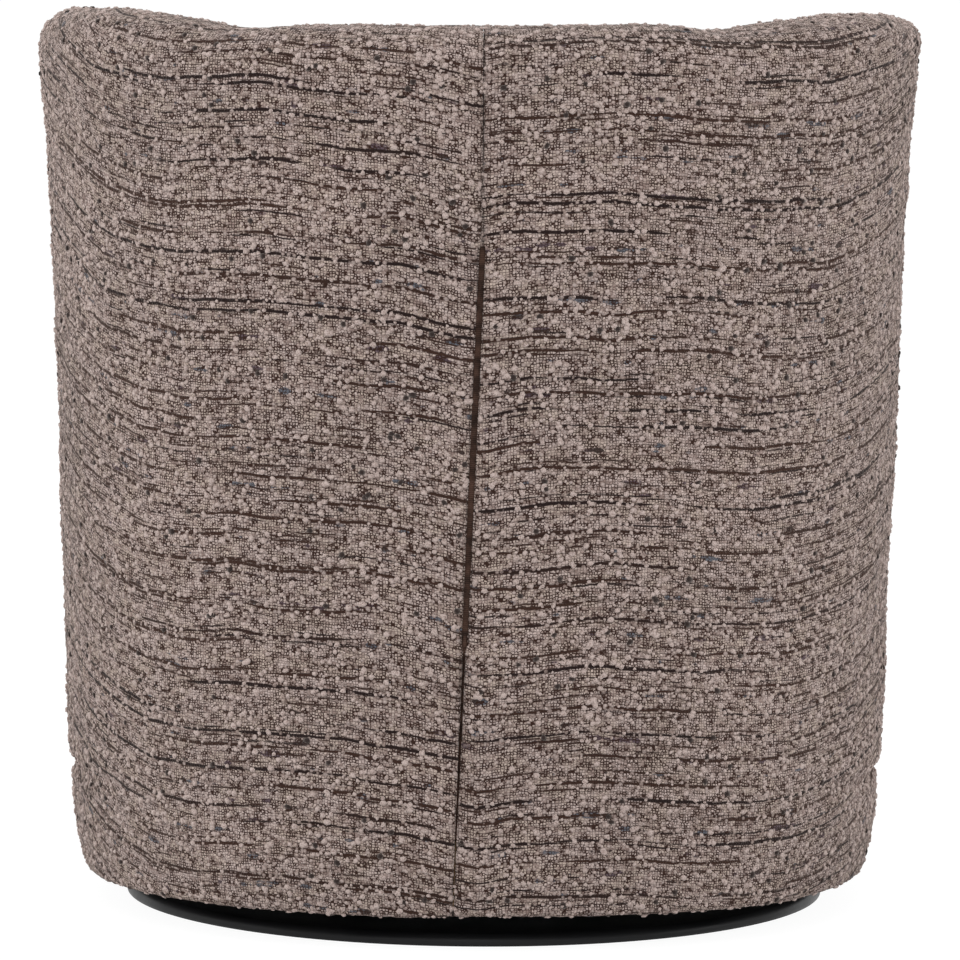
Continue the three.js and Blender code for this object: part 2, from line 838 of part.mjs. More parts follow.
// Zigzag seat springs from the front of the seat ring to its back

// Outline of a flat strip along a path, mitred at its corners.
function ribbonOutline(path, halfWidth) {
  const sideOf = (from, to) => new THREE.Vector2(from.y - to.y, to.x - from.x).normalize();
  const offsets = path.map((point, i) => {
    const before = sideOf(path[Math.max(0, i - 1)], path[Math.max(1, i)]);
    const after = sideOf(path[Math.min(path.length - 2, i)], path[Math.min(path.length - 1, i + 1)]);
    const mitre = before.clone().add(after);
    return mitre.multiplyScalar(halfWidth / (1 + before.dot(after)));
  });
  const left = path.map((point, i) => point.clone().add(offsets[i]));
  const right = path.map((point, i) => point.clone().sub(offsets[i]));
  return new THREE.Shape([...left, ...right.reverse()]);
}

function seatSpring(x) {
  const outerX = Math.abs(x) + seatSpringSwing + seatSpringWire;
  const end = roomAlongY(outerX, ringInner, seatRingTop) + seatSpringBearingLength;
  const bends = 2 * Math.round((2 * end) / seatSpringPitch);
  const span = (2 * end) / bends;
  const half = seatSpringWire / 2;
  const zigzag = Array.from({ length: bends }, (_, i) => {
    const sway = i % 2 === 0 ? seatSpringSwing : -seatSpringSwing;
    return [
      new THREE.Vector2(x + sway, -end + i * span),
      new THREE.Vector2(x + sway, -end + (i + 1) * span),
    ];
  }).flat();
  const outline = ribbonOutline(zigzag, half);
  return new THREE.ExtrudeGeometry(outline, { depth: seatSpringWire, bevelEnabled: false })
    .translate(0, 0, seatRingTop + touchGap);
}

seatSpringPlaces.forEach((x, i) => addPiece(`seat_spring_${i + 1}`, seatSpring(x), springSteel));

// Soft pieces of the wall

const deckBottom = seatRingTop + touchGap + seatSpringWire + touchGap;
const deckTop = deckBottom + deckThickness;
const padOuter = postInner + padClearance;
const padFoot = seatRingTop + padFootGap;
const facingStart = armEnd - coverThickness / (bodyWidth / 2);
const bandRowShares = [0, 0.17, 0.5, 1];
const armRowShares = [0.15, 0.4, 0.7, 1];
const frontRowShares = [0.3, 0.65, 1];

// Heights of the cover's rows: the band and the crease, then shares of the way up to its top.
function coverHeights(shares, top) {
  const low = bandRowShares.map((share) => mix(hemHeight, bandRound, share));
  const crease = [-1, 0, 1].map((step) => creaseHeight + step * creaseReach);
  return [...low, ...crease, ...shares.map((share) => mix(crease[2], top, share))];
}

// Rows of the back, with one on each side of each end of the zip.
function backHeights(top) {
  const ends = [zipFoot - zipSliderHeight, zipFoot, zipTop, zipTop + zipSliderHeight];
  const middle = (zipFoot + zipTop) / 2;
  const rows = coverHeights([], top);
  const under = (rows[rows.length - 1] + ends[0]) / 2;
  const over = (ends[3] + top) / 2;
  return [...rows, under, ends[0], ends[1], middle, ends[2], ends[3], over, top];
}

function coverSection(angle, heightsTo, topAt) {
  const outside = heightsTo(topAt(angle, 0)).map((z) => [coverDepth(z, angle), z]);
  return [...outside, [coverThickness, topAt(angle, coverThickness)], [coverThickness, hemHeight]];
}

// Half width of the gap at the centre seam: a groove over the zip and a hairline elsewhere.
function seamHalfGap(z) {
  const ramp = zipSliderHeight;
  const inside = Math.min((z - zipFoot) / ramp, (zipTop - z) / ramp);
  return mix(touchGap / 2, zipGroove / 2, Math.min(1, Math.max(0, inside + 1)));
}

// Block that holds everything on one side of the leaning seam.
function seamSide(side) {
  const ramp = zipSliderHeight;
  const heights = [-bodyLean, zipFoot - ramp, zipFoot, zipTop, zipTop + ramp, backHeight + bodyLean];
  const edge = heights.map((z) => new THREE.Vector2(seamOffset(z) + side * seamHalfGap(z), z));
  const outline = new THREE.Shape(edge);
  outline.lineTo(side * bodyWidth, edge[edge.length - 1].y);
  outline.lineTo(side * bodyWidth, edge[0].y);
  return new THREE.ExtrudeGeometry(outline, { depth: 2 * bodyDepth, bevelEnabled: false })
    .rotateX(Math.PI / 2)
    .translate(0, bodyDepth, 0);
}

function wallTurn(side, from, to) {
  return side > 0 ? [from, to] : [-to, -from];
}

// Section of the rim roll: flush with the cover outside and the pads inside, crowned on top.
const rollShares = [
  [0, 0.56], [0.012, 0.34], [0.057, 0.2], [0.17, 0.085], [0.32, 0.025], [0.5, 0],
  [0.68, 0.025], [0.83, 0.085], [0.943, 0.2], [0.988, 0.34], [1, 0.56],
];

function rollSection(angle) {
  const round = rollShares.map(([share, drop]) => {
    const depth = share * wallThickness;
    return [depth, crestAt(angle, depth) - drop * rimHeight];
  });
  const under = [wallThickness, postInner, coverThickness].map((depth) => [depth, rollFootAt(angle, depth)]);
  const edge = rollFootAt(angle, 0);
  return [...round, ...under, [coverDepth(edge, angle), edge]];
}

// Section of an inside pad, which swells a little between its foot and the roll.
const padSwellShares = [0, 0.2, 0.45, 0.7, 1];

function padSection(angle) {
  const top = wallTopAt(angle, wallThickness);
  const face = padSwellShares.map((share) => [
    wallThickness + padSwell * Math.sin(Math.PI * share) ** 2,
    mix(padFoot, top, share),
  ]);
  return [[padOuter, padFoot], ...face, [padOuter, wallTopAt(angle, padOuter)]];
}

// How far along its thickness a facing has rounded, as shares of its thickness and of its draw-in.
const facingRoundShares = [[0, 0], [0.5, 0.12], [0.85, 0.4], [1, 1]];

// Padded facing on the front end of an arm, rounded towards the front and over its top.
function armFacing(side) {
  const columns = facingRoundShares.map(([along, draw]) => {
    const angle = side * mix(facingStart + jointGap, armEnd, along);
    const pull = draw * coverThickness;
    const bottom = deckTop + touchGap;
    const sides = rollShares.map(([share, drop]) => {
      const depth = mix(pull, wallThickness - pull, share);
      return [depth, crestAt(angle, depth) - pull - drop * rimHeight];
    });
    return [[pull, bottom], ...sides, [wallThickness - pull, bottom]]
      .map(([depth, z]) => wallPoint(angle, depth, z));
  });
  return loft(side > 0 ? columns : columns.reverse(), false);
}

const armHeights = (top) => coverHeights(armRowShares, top);
const frontHeights = (top) => coverHeights(frontRowShares, top);

const backPanel = wallSector(-sidePanelStart, sidePanelStart, (angle) =>
  coverSection(angle, backHeights, wallTopAt));
const rimRoll = wallSector(-facingStart, facingStart, rollSection);

for (const [name, side] of [['left', 1], ['right', -1]]) {
  const arm = wallTurn(side, sidePanelStart + jointGap, facingStart);
  const pad = wallTurn(side, backPadEnd + jointGap, facingStart);
  const armPanel = (angle) => coverSection(angle, armHeights, wallTopAt);
  addPiece(`outside_back_${name}`, keptWithin(backPanel, seamSide(side)), cloth);
  addPiece(`outside_arm_${name}`, wallSector(...arm, armPanel), cloth);
  addPiece(`rim_roll_${name}`, keptWithin(rimRoll, seamSide(side)), cloth);
  addPiece(`inside_arm_pad_${name}`, wallSector(...pad, padSection), foam);
  addPiece(`arm_facing_${name}`, armFacing(side), cloth);
}
addPiece('inside_back_pad', wallSector(-backPadEnd, backPadEnd, padSection), foam);

// Front panel, below the seat cushion and the arm facings

const frontPanelEnd = facingStart + jointGap;

addPiece('front_panel', wallSector(
  frontPanelEnd,
  2 * Math.PI - frontPanelEnd,
  (angle) => coverSection(Math.min(angle, 2 * Math.PI - angle), frontHeights, () => deckTop),
), cloth);

// Seat deck and cushion, which widen between the arm fronts

// How the seat's edge steps out in front of an arm: along its face, then rounded to the front.
const earShares = [[0, 0], [0.07, 0.25], [0.16, 0.52], [0.3, 0.76], [0.5, 0.91], [0.74, 0.98], [1, 1]];

// Depth of the seat's edge: inside the arms, then out to the front between them.
function seatEdgeDepth(angle, inside, front) {
  const along = (Math.abs(angle) - cushionEarStart) / (cushionEarEnd - cushionEarStart);
  if (along <= 0) return inside;
  if (along >= 1) return front;
  const next = earShares.findIndex(([share]) => share >= along - angleTolerance);
  const [low, high] = [earShares[Math.max(0, next - 1)], earShares[Math.max(1, next)]];
  return mix(inside, front, mix(low[1], high[1], (along - low[0]) / (high[0] - low[0])));
}

// Angles round the seat: the facet corners, with more where the edge steps out.
function seatAngles() {
  const steps = earShares.map(([share]) => mix(cushionEarStart, cushionEarEnd, share));
  const front = sweepAngles(cushionEarEnd, Math.PI).slice(1);
  const left = [...sweepAngles(0, cushionEarStart).slice(1, -1), ...steps, ...front.slice(0, -1)];
  return [...left.map((angle) => -angle).reverse(), ...left];
}

// Closed body from the rings of an outline, each given by how far it is drawn in and its height.
function stackedRings(rings) {
  const count = rings[0].length;
  const index = [];
  for (let i = 0; i + 1 < rings.length; i++) {
    for (let j = 0; j < count; j++) {
      const k = (j + 1) % count;
      const [a, b] = [i * count + j, i * count + k];
      index.push(a, b, b + count, a, b + count, a + count);
    }
  }
  const points = rings.flat();
  const ends = [[0, 1], [(rings.length - 1) * count, -1]];
  for (const [start, way] of ends) {
    const ring = points.slice(start, start + count);
    const middle = ring.reduce((sum, point) => sum.add(point), new THREE.Vector3()).divideScalar(count);
    const centre = points.push(middle) - 1;
    for (let j = 0; j < count; j++) {
      const k = (j + 1) % count;
      if (way > 0) index.push(centre, start + k, start + j);
      else index.push(centre, start + j, start + k);
    }
  }
  return closedGeometry(points, index);
}

function seatDeck() {
  const ring = (z) => seatAngles().map((angle) =>
    wallPoint(angle, seatEdgeDepth(angle, wallThickness + deckClearance, frameOuter), z));
  return stackedRings([ring(deckBottom), ring(deckTop)]);
}

// The cushion's side as shares of its height and of how far its seams are drawn in, and its top as
// shares of the way to its middle.
const cushionSideShares = [[0, 1], [0.16, 0.25], [0.5, 0], [0.84, 0.25], [1, 1]];
const cushionTopShares = [0.03, 0.07, 0.13, 0.22, 0.36, 0.55, 0.8];

// Crowned cushion: flat underneath, sides drawn in at both seams, top swelling in a quarter round
// with the distance from its seam.
function seatCushion() {
  const bottom = deckTop + touchGap;
  const edgeTop = seatHeight - cushionCrown;
  const edge = (angle, drawn, z) => {
    const inside = wallThickness + padSwell + cushionClearance;
    const depth = seatEdgeDepth(angle, inside, -cushionOverhang);
    return wallPoint(angle, depth + drawn, z);
  };
  const side = cushionSideShares.map(([rise, drawn]) =>
    seatAngles().map((angle) => edge(angle, drawn * cushionDrawIn, mix(bottom, edgeTop, rise))));
  const seam = seatAngles().map((angle) => edge(angle, cushionDrawIn, edgeTop));
  const top = cushionTopShares.map((inwards) => seam.map((point) => {
    const place = point.clone().multiply(new THREE.Vector3(1 - inwards, 1 - inwards, 1));
    const away = Math.min(...seam.map((near) => near.distanceTo(place)));
    const flat = 1 - Math.min(1, away / cushionCrownReach);
    return place.setZ(edgeTop + cushionCrown * Math.sqrt(1 - flat ** 2));
  }));
  return stackedRings([...side, ...top]);
}

addPiece('seat_deck', seatDeck(), foam);
addPiece('seat_cushion', seatCushion(), cloth);

// Concealed zip in the centre back seam, straight along the leaning wall

// Point on the zip's straight line at height z, behind the cloth by a recess.
function zipPoint(z, recess) {
  const ends = [zipFoot, zipTop].map((end) =>
    wallPoint(0, coverDepth(end, 0) + recess, end).setX(seamOffset(end)));
  return ends[0].clone().lerp(ends[1], (z - zipFoot) / (zipTop - zipFoot));
}

// Strip along the zip's line, between two heights.
function zipStrip(from, to, width, recess, thickness) {
  const columns = [from, to].map((z) => {
    const face = zipPoint(z, recess);
    const behind = zipPoint(z, recess + thickness);
    return [
      face.clone().add(new THREE.Vector3(width / 2, 0, 0)),
      face.clone().sub(new THREE.Vector3(width / 2, 0, 0)),
      behind.clone().sub(new THREE.Vector3(width / 2, 0, 0)),
      behind.clone().add(new THREE.Vector3(width / 2, 0, 0)),
    ];
  });
  const sides = [[0, 1, 2, 3], [4, 5, 6, 7]];
  const index = [2, 1, 0, 3, 2, 0, 4, 5, 6, 4, 6, 7];
  for (let i = 0; i < 4; i++) {
    const k = (i + 1) % 4;
    index.push(sides[0][i], sides[0][k], sides[1][k], sides[0][i], sides[1][k], sides[1][i]);
  }
  return closedGeometry(columns.flat(), index);
}

const tapeRecess = zipRecess + zipSliderThickness + touchGap;
addPiece('zip_tape', zipStrip(zipFoot, zipTop, zipTapeWidth, tapeRecess, zipTapeThickness), zipBrown);
addPiece('zip_slider', zipStrip(
  zipFoot + touchGap,
  zipFoot + touchGap + zipSliderHeight,
  zipSliderWidth,
  zipRecess,
  zipSliderThickness,
), zipBrown);

export default chair;
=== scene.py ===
"""Barrel swivel rocker, dressed.

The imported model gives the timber, the steel and the places of everything. This script adds the
cloth, the cushion, the zip, the round base and the finishes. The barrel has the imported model's
shape, but for its crease, its lower band, one shoulder and the gap of its back seam, which follow
the photograph more closely. Lengths are in metres, +Z is up and the sitter faces -Y. Turn is the
angle round the swivel axis, from +Y towards +X.
"""

import json
import math

import bpy
import numpy as np
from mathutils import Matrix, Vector


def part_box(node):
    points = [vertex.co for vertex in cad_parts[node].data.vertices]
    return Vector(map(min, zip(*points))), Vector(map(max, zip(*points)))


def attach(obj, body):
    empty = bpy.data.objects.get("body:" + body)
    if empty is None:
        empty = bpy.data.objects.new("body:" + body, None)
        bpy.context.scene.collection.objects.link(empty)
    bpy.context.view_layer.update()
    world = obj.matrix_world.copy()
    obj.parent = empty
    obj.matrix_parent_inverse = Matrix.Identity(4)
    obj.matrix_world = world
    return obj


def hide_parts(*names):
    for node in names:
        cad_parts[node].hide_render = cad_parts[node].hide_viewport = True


bl_info = {
    "name": "Barrel Swivel Rocker",
    "version": (1, 0, 0),
    "blender": (4, 5, 0),
    "location": "3D View > Sidebar > Rocker",
    "description": "Cloth, cushion, zip, base and finishes of a barrel swivel rocker",
    "category": "Add Mesh",
}

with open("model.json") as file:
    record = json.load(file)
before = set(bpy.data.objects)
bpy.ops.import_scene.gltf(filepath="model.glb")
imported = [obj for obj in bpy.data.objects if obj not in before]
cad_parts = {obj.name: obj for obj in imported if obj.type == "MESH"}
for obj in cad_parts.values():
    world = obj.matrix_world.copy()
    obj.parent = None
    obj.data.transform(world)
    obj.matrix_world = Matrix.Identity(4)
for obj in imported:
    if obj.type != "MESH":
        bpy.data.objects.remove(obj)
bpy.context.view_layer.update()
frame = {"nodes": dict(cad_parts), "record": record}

SIDES = (("left", 1), ("right", -1))
DECK_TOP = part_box("seat_deck")[1].z
PAD_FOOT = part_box("inside_back_pad")[0].z
CUSHION_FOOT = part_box("seat_cushion")[0].z
DISC_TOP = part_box("base_disc")[1].z
DISC_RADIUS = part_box("base_disc")[1].x


def length(name, description, default):
    """A length that a user would change."""
    return bpy.props.FloatProperty(
        name=name, description=description, default=default, min=0, precision=4, unit="LENGTH"
    )


def place(name, description, default):
    """A signed place along an axis."""
    return bpy.props.FloatProperty(
        name=name, description=description, default=default, precision=4, unit="LENGTH"
    )


def angle(name, description, degrees):
    """An angle round the swivel axis."""
    return bpy.props.FloatProperty(
        name=name, description=description, default=math.radians(degrees), unit="ROTATION"
    )


def share(name, description, default):
    """A plain number without a unit."""
    return bpy.props.FloatProperty(name=name, description=description, default=default, min=0)


def colour(name, description, red, green, blue):
    """A colour written as it shows on a screen, from 0 to 255, and kept as linear light."""
    shown = np.array((red, green, blue)) / 255
    linear = np.where(shown <= 0.04045, shown / 12.92, ((shown + 0.055) / 1.055) ** 2.4)
    return bpy.props.FloatVectorProperty(
        name=name, description=description, default=tuple(linear), size=3, subtype="COLOR"
    )


class RockerShell(bpy.types.PropertyGroup):
    """Sizes of the padded barrel."""

    half_width: length("Half width", "Half of the body's width over the cloth", 0.380)
    half_depth: length("Half depth", "Half of the body's depth over the cloth", 0.380)
    squareness: share("Squareness", "Power of the rounded-square plan", 2.35)
    back_height: length("Back height", "Crest of the rim at the centre of the back", 0.768)
    corner_rise: length("Corner rise", "How much higher the crest is at the sides", 0.003)
    rim_dip: length("Rim dip", "How deep the crest dips beside its middle", 0.0055)
    dip_turn: angle("Dip turn", "Turn where the crest is lowest", 33)
    dip_spread: angle("Dip spread", "Turn over which the dip fades out", 7)
    rim_horn: length("Rim horn", "How far the crest rises beyond the dip", 0.004)
    horn_turn: angle("Horn turn", "Turn where the crest is highest", 57)
    horn_spread: angle("Horn spread", "Turn over which the horn fades out", 10)
    back_pad_end: angle("Back pad end", "Turn at the ends of the inside back pad", 60)
    arm_front_height: length("Arm front height", "Crest of the rim at the front of an arm", 0.610)
    fall_start: place("Fall start", "Place along Y where the arm starts to fall", 0.035)
    fall_round: length("Fall round", "Half length of the rounding at the start of the fall", 0.060)
    arm_end: angle("Arm end", "Turn at the front end of an arm", 132)
    side_seam: angle("Side seam", "Turn at the seam between back and arm", 93.75)
    wall: length("Wall", "Thickness of the padded wall", 0.088)
    cover: length("Cover", "Thickness of the padded cover outside the frame", 0.0155)
    pad_back: length("Pad back", "Depth in the wall of the inside pads' hidden face", 0.047)
    rim_height: length("Rim height", "Height of the rounded rim above its foot", 0.064)
    arch_height: length("Arch height", "Height of the rim's arch above its widest place", 0.036)
    arch_power: share("Arch power", "Squareness of the rim's arch", 2.3)
    shoulder_push: length("Shoulder push", "How much squarer the rim is at one shoulder", 0.010)
    shoulder_turn: angle("Shoulder turn", "Turn of that shoulder", -80)
    shoulder_spread: angle("Shoulder spread", "Turn over which it fades out", 26)
    lean: length("Lean", "How far the wall leans in from its widest place to the crease", 0.026)
    waist: length("Waist", "How much the wall is drawn in below the rim", 0.0055)
    crease_height: length("Crease height", "Height of the crease above the lower band", 0.119)
    crease_reach: length("Crease reach", "Half height of the crease at the sides", 0.013)
    crease_fade: length("Crease fade", "Half height of the step at the back, with no crease", 0.055)
    crease_notch: length("Crease notch", "Depth of the crease", 0.0052)
    fade_start: angle("Fade start", "Turn where the crease starts to show", 35)
    fade_end: angle("Fade end", "Turn where the crease shows fully", 75)
    band: length("Band", "How far the lower band stands in", 0.0020)
    band_round: length("Band round", "Height at which the band starts to turn under", 0.084)
    hem: length("Hem", "Height of the lower edge above the floor", 0.031)
    hem_tuck: length("Hem tuck", "How far the lower edge is tucked in", 0.0070)
    hem_power: share("Hem power", "How late the tuck comes", 1.7)
    hem_radius: length("Hem radius", "Rounding of the lower edge", 0.006)
    seam_top: place("Seam top", "Place along X of the back seam from the zip up", -0.0035)
    seam_foot: place("Seam foot", "Place along X of the back seam at the lower edge", 0.018)
    seam_pull: length("Seam pull", "How deep the cloth is drawn in at a seam", 0.0042)
    seam_width: length("Seam width", "How far beside a seam the cloth is drawn in", 0.0042)
    zip_foot: length("Zip foot", "Lower end of the zip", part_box("zip_tape")[0].z)
    zip_head: length("Zip head", "Upper end of the zip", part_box("zip_tape")[1].z)
    zip_gap: length("Zip gap", "Half width of the gap over the zip", 0.0021)
    seam_gap: length("Seam gap", "Half width of the loose seam below the zip", 0.0017)
    seam_close: length("Seam close", "Height under which that seam is tight", 0.098)


class RockerSeat(bpy.types.PropertyGroup):
    """Sizes of the seat cushion and the inside pads."""

    height: length("Seat height", "Top of the crowned cushion", 0.440)
    crown: length("Crown", "How much the top swells above its seam", 0.015)
    crown_reach: length("Crown reach", "How far in from its seam the top has swollen", 0.070)
    clearance: length("Clearance", "Gap between the cushion and the pads", 0.0115)
    overhang: length("Overhang", "How far the cushion stands out over the front panel", 0.015)
    draw_in: length("Draw in", "How far the cushion's sides are drawn in at a seam", 0.008)
    ear_start: angle("Ear start", "How far past the arm end the cushion steps out", 1.3)
    ear_turn: angle("Ear turn", "Turn that a rounded front corner of the cushion takes", 6.9)
    seam_groove: length("Seam groove", "Depth of the cushion's sewn seams", 0.0048)
    deck_gap: length("Deck gap", "Gap between the deck and the covers round it", 0.0022)
    swell: length("Swell", "How far the inside pads swell", 0.010)
    puff: length("Puff", "How far the simulated cloth may move", 0.006)


class RockerCloth(bpy.types.PropertyGroup):
    """Colours and scale of the boucle tweed."""

    knot: colour("Knot", "Pale wool of the curled knots", 190, 173, 167)
    # The deep knot colour is real darker wool, and also painted shade on the rims of the woven knots
    # and on the knot balls towards the cloth.
    knot_deep_and_shade: colour("Deep knot", "Darker wool of some knots", 138, 118, 111)
    yarn: colour("Yarn", "Plain weave yarn", 193, 175, 169)
    yarn_warm: colour("Warm yarn", "Plain weave yarn where it is warmer", 188, 170, 159)
    # The gap colour is painted shade: the dark ground where the yarn pebbles shade each other.
    gap: colour("Gap", "Dark gaps of the weave", 48, 29, 22)
    brown: colour("Brown", "Dark brown lines of the weft", 56, 36, 28)
    black: colour("Black", "Black lines of the weft", 32, 19, 17)
    slate: colour("Slate", "Slate blue lines of the weft", 86, 92, 102)
    plum: colour("Plum", "Purple grey lines of the weft", 78, 62, 72)
    pitch: length("Pitch", "Distance from yarn to yarn", 0.0024)
    knot_share: share("Knot share", "Knots on each square metre, in thousands", 13.0)
    zip_brown: colour("Zip brown", "Brown of the zip", 86, 63, 53)


class RockerBase(bpy.types.PropertyGroup):
    """Sizes of the round steel base."""

    sheet: length("Sheet", "Thickness of the disc", 0.003)
    lip: length("Lip", "Height of the disc's lower edge above the floor", 0.0005)
    shoulder: length("Shoulder", "Width of the disc's rounded edge", 0.008)
    hole: length("Hole", "Radius of the hole in the dust cover", 0.190)


# Plain mathematics


def smoothstep(t):
    """Rises from 0 to 1 as 3 t squared less 2 t cubed, level outside."""
    t = np.clip(t, 0, 1)
    return t * t * (3 - 2 * t)


def mix(low, high, t):
    """Straight from low at t = 0 to high at t = 1."""
    return low + (high - low) * t


def bump(values, middle, spread):
    """1 at the middle, fading as the exponential of minus the squared distance over the spread."""
    return np.exp(-(((values - middle) / spread) ** 2))


def squared(wave, power):
    """A wave from -1 to 1 made squarer: its sign, times its size to a power under 1."""
    return np.sign(wave) * np.abs(wave) ** power


LATTICE = 256  # values along each side of a noise table, which then repeats


def soft_noise(p, q, seed):
    """Smooth noise from -1 to 1: seeded values on a square lattice, joined by smoothsteps."""
    table = np.random.default_rng(seed).uniform(-1, 1, (LATTICE, LATTICE))
    i, j = np.floor(p).astype(int), np.floor(q).astype(int)
    a, b = smoothstep(p - i), smoothstep(q - j)
    left, right = i % LATTICE, (i + 1) % LATTICE
    near, far = j % LATTICE, (j + 1) % LATTICE
    low = mix(table[left, near], table[right, near], a)
    high = mix(table[left, far], table[right, far], a)
    return mix(low, high, b)


def spaced(values, count):
    """Points spaced evenly along an open curve given by the rows of values."""
    steps = np.linalg.norm(np.diff(values, axis=0), axis=1)
    along = np.concatenate([[0], np.cumsum(steps)])
    at = np.linspace(0, along[-1], count)
    return np.stack([np.interp(at, along, column) for column in values.T], axis=1)


# Shape of the barrel

CREST_ROUNDS = 6
HAIRLINE = 0.0004  # half width of a tight seam's gap
LOW_HAIRLINE = 1.7 * HAIRLINE  # the same for the back seam below the zip
HAIRLINE_RAMP = 0.006  # height over which the gap opens at the zip's foot
HEAD_RAMP = 0.002  # height over which it closes at the zip's head
CLOSE_RAMP = 0.012  # height over which the loose seam closes at its lower end
LOOSE_LEFT = 0.4  # share of the loose seam's width that is left there
CUT_SHIFT = 0.55  # the two sides are cut from different places of the cloth

# Where the weft lines of the cloth run: turn in degrees, and how far above level they lie in mm
WEFT_TURN = (0, 5, 11, 16, 24, 32, 40, 46, 53, 61, 70, 80, 90)
WEFT_LEFT = (-14, -7, -0.4, 2.5, 5.4, 5.9, 4.7, 6.9, 17.4, 35, 55.5, 69, 74)
WEFT_RIGHT = (-14, -10, -7.8, -7.2, -9.4, -14, -17.2, -16.1, -11.1, -0.7, 15, 31, 37.5)
WEFT_SPREAD = (-1.5, -0.5, 0.5, 1.5)  # turns beside a place over which the tables are averaged


def lean_at(s, z):
    """Inset of the straight lean line at height z, zero at the widest height."""
    widest = s.back_height - s.arch_height
    return s.lean * (widest - z) / (widest - s.crease_height)


def reach(s, turn, inset):
    """Distance from the axis to the plan: a superellipse in polar form, less an inset."""
    across = np.abs(np.sin(turn)) / s.half_width
    along = np.abs(np.cos(turn)) / s.half_depth
    return (across**s.squareness + along**s.squareness) ** (-1 / s.squareness) - inset


def wall_point(s, turn, depth, z):
    """The point at a turn, a depth behind the lean line and a height."""
    turn, depth, z = np.broadcast_arrays(turn, depth, z)
    r = reach(s, turn, lean_at(s, z) + depth)
    return np.stack([r * np.sin(turn), r * np.cos(turn), z], axis=-1)


def arm_fall(s, y):
    """How far the arm has fallen at y: level, a parabola, then a straight slope to its front."""
    start = s.fall_start - s.fall_round
    front = reach(s, s.arm_end, s.wall / 2) * math.cos(s.arm_end)
    slope = (s.back_height + s.corner_rise - s.arm_front_height) / (start - front)
    past = start - y
    rounded = np.maximum(0, past + s.fall_round) ** 2 / (4 * s.fall_round)
    return slope * np.where(past >= s.fall_round, past, rounded)


def crest(s, turn, depth):
    """Height of the rim's crest over a depth, from a few rounds because the wall leans."""
    size = np.abs(turn)
    dip = s.rim_dip * bump(size, s.dip_turn, s.dip_spread)
    horn = s.rim_horn * bump(size, s.horn_turn, s.horn_spread)
    level = s.back_height + s.corner_rise * smoothstep(size / s.back_pad_end) + horn - dip
    z = level
    for _ in range(CREST_ROUNDS):
        z = level - arm_fall(s, wall_point(s, turn, depth, z)[..., 1])
    return z


def facing_turn(s):
    """Turn where the covers end at an arm's front and its facing starts."""
    return s.arm_end - s.cover / s.half_width


def seam_turn(s):
    """Turn that half of a tight seam's gap takes."""
    return HAIRLINE / s.half_width


def cover_depth(s, z, turn):
    """Depth of the outside cloth: the waist above the crease, and the band and hem below it."""
    widest = s.back_height - s.arch_height
    fade = smoothstep((np.abs(turn) - s.fade_start) / (s.fade_end - s.fade_start))
    half = mix(s.crease_fade, s.crease_reach, fade)
    rise = np.clip((z - s.crease_height) / (widest - s.crease_height), 0, 1)
    upper = s.waist * rise * (1 - rise**8)
    drop = np.clip((s.band_round - z) / (s.band_round - s.hem), 0, 1)
    band = s.band + s.hem_tuck * drop**s.hem_power
    away = np.minimum(1, np.abs(z - s.crease_height) / s.crease_reach)
    notch = s.crease_notch * fade * np.cos(np.pi * away / 2) ** 2
    step = smoothstep((z - s.crease_height + half) / (2 * half))
    return mix(band, upper, step) + notch


def seam_place(s, z):
    """Place along X of the back seam: upright from the zip's head up, straight and leaning below
    it."""
    low = np.maximum(0, (s.zip_head - z) / (s.zip_head - s.hem))
    return mix(s.seam_top, s.seam_foot, low)


def seam_half_gap(s, z):
    """Half width of the back seam's gap: a hairline, open over the zip, and loose and uneven
    below it, where it narrows down to its lower end."""
    ends = np.minimum((z - s.zip_foot) / HAIRLINE_RAMP, (s.zip_head - z) / HEAD_RAMP)
    below = z < s.zip_foot + HAIRLINE_RAMP
    uneven = np.clip(0.8 + 0.8 * soft_noise(z * 70, 0 * z, 91), 0.1, 1)
    up = np.clip((z - s.seam_close) / (s.zip_foot - s.seam_close), 0, 1)
    loose = mix(LOOSE_LEFT, 1, up) * uneven * smoothstep((z - s.seam_close) / CLOSE_RAMP)
    tight = np.where(below, LOW_HAIRLINE, HAIRLINE)
    return mix(mix(tight, s.seam_gap, below * loose), s.zip_gap, smoothstep(ends))


def weft_rise(turn):
    """How far above level a weft line lies, in metres: the mean of a table's values near it."""
    near = [np.degrees(np.abs(turn)) + shift for shift in WEFT_SPREAD]
    left, right = (
        sum(np.interp(size, WEFT_TURN, table) for size in near) / len(near)
        for table in (WEFT_LEFT, WEFT_RIGHT)
    )
    return np.where(turn > 0, left, right) / 1000


# Meshes from grids of points


def normals_of(points):
    """Unit normals of a grid of points, from the cross product of its two directions."""
    down = np.gradient(points, axis=0)
    across = np.gradient(points, axis=1)
    normal = np.cross(across, down)
    return normal / np.maximum(np.linalg.norm(normal, axis=-1, keepdims=True), 1e-12)


def path_lengths(points):
    """Length along each column of a grid, from its first row."""
    steps = np.linalg.norm(np.diff(points, axis=0), axis=-1)
    return np.concatenate([np.zeros((1, points.shape[1])), np.cumsum(steps, axis=0)])


def volume_of(points, quads):
    """Signed volume of quads, as tetrahedra from the origin."""
    a, b, c, d = (points[quads[:, k]] for k in range(4))
    six = (a * np.cross(b, c)).sum() + (a * np.cross(c, d)).sum()
    return six / 6


def read(elements, field, width=1, kind=np.float32):
    """A field of a mesh's elements as an array, with one row for each element."""
    values = np.empty(len(elements) * width, kind)
    elements.foreach_get(field, values)
    return values.reshape(-1, width)


def set_weave(mesh, uv):
    """Stores the weave's place at each corner of a mesh's faces."""
    layer = mesh.uv_layers.new(name="weave")
    layer.data.foreach_set("uv", uv.astype(np.float32).ravel())


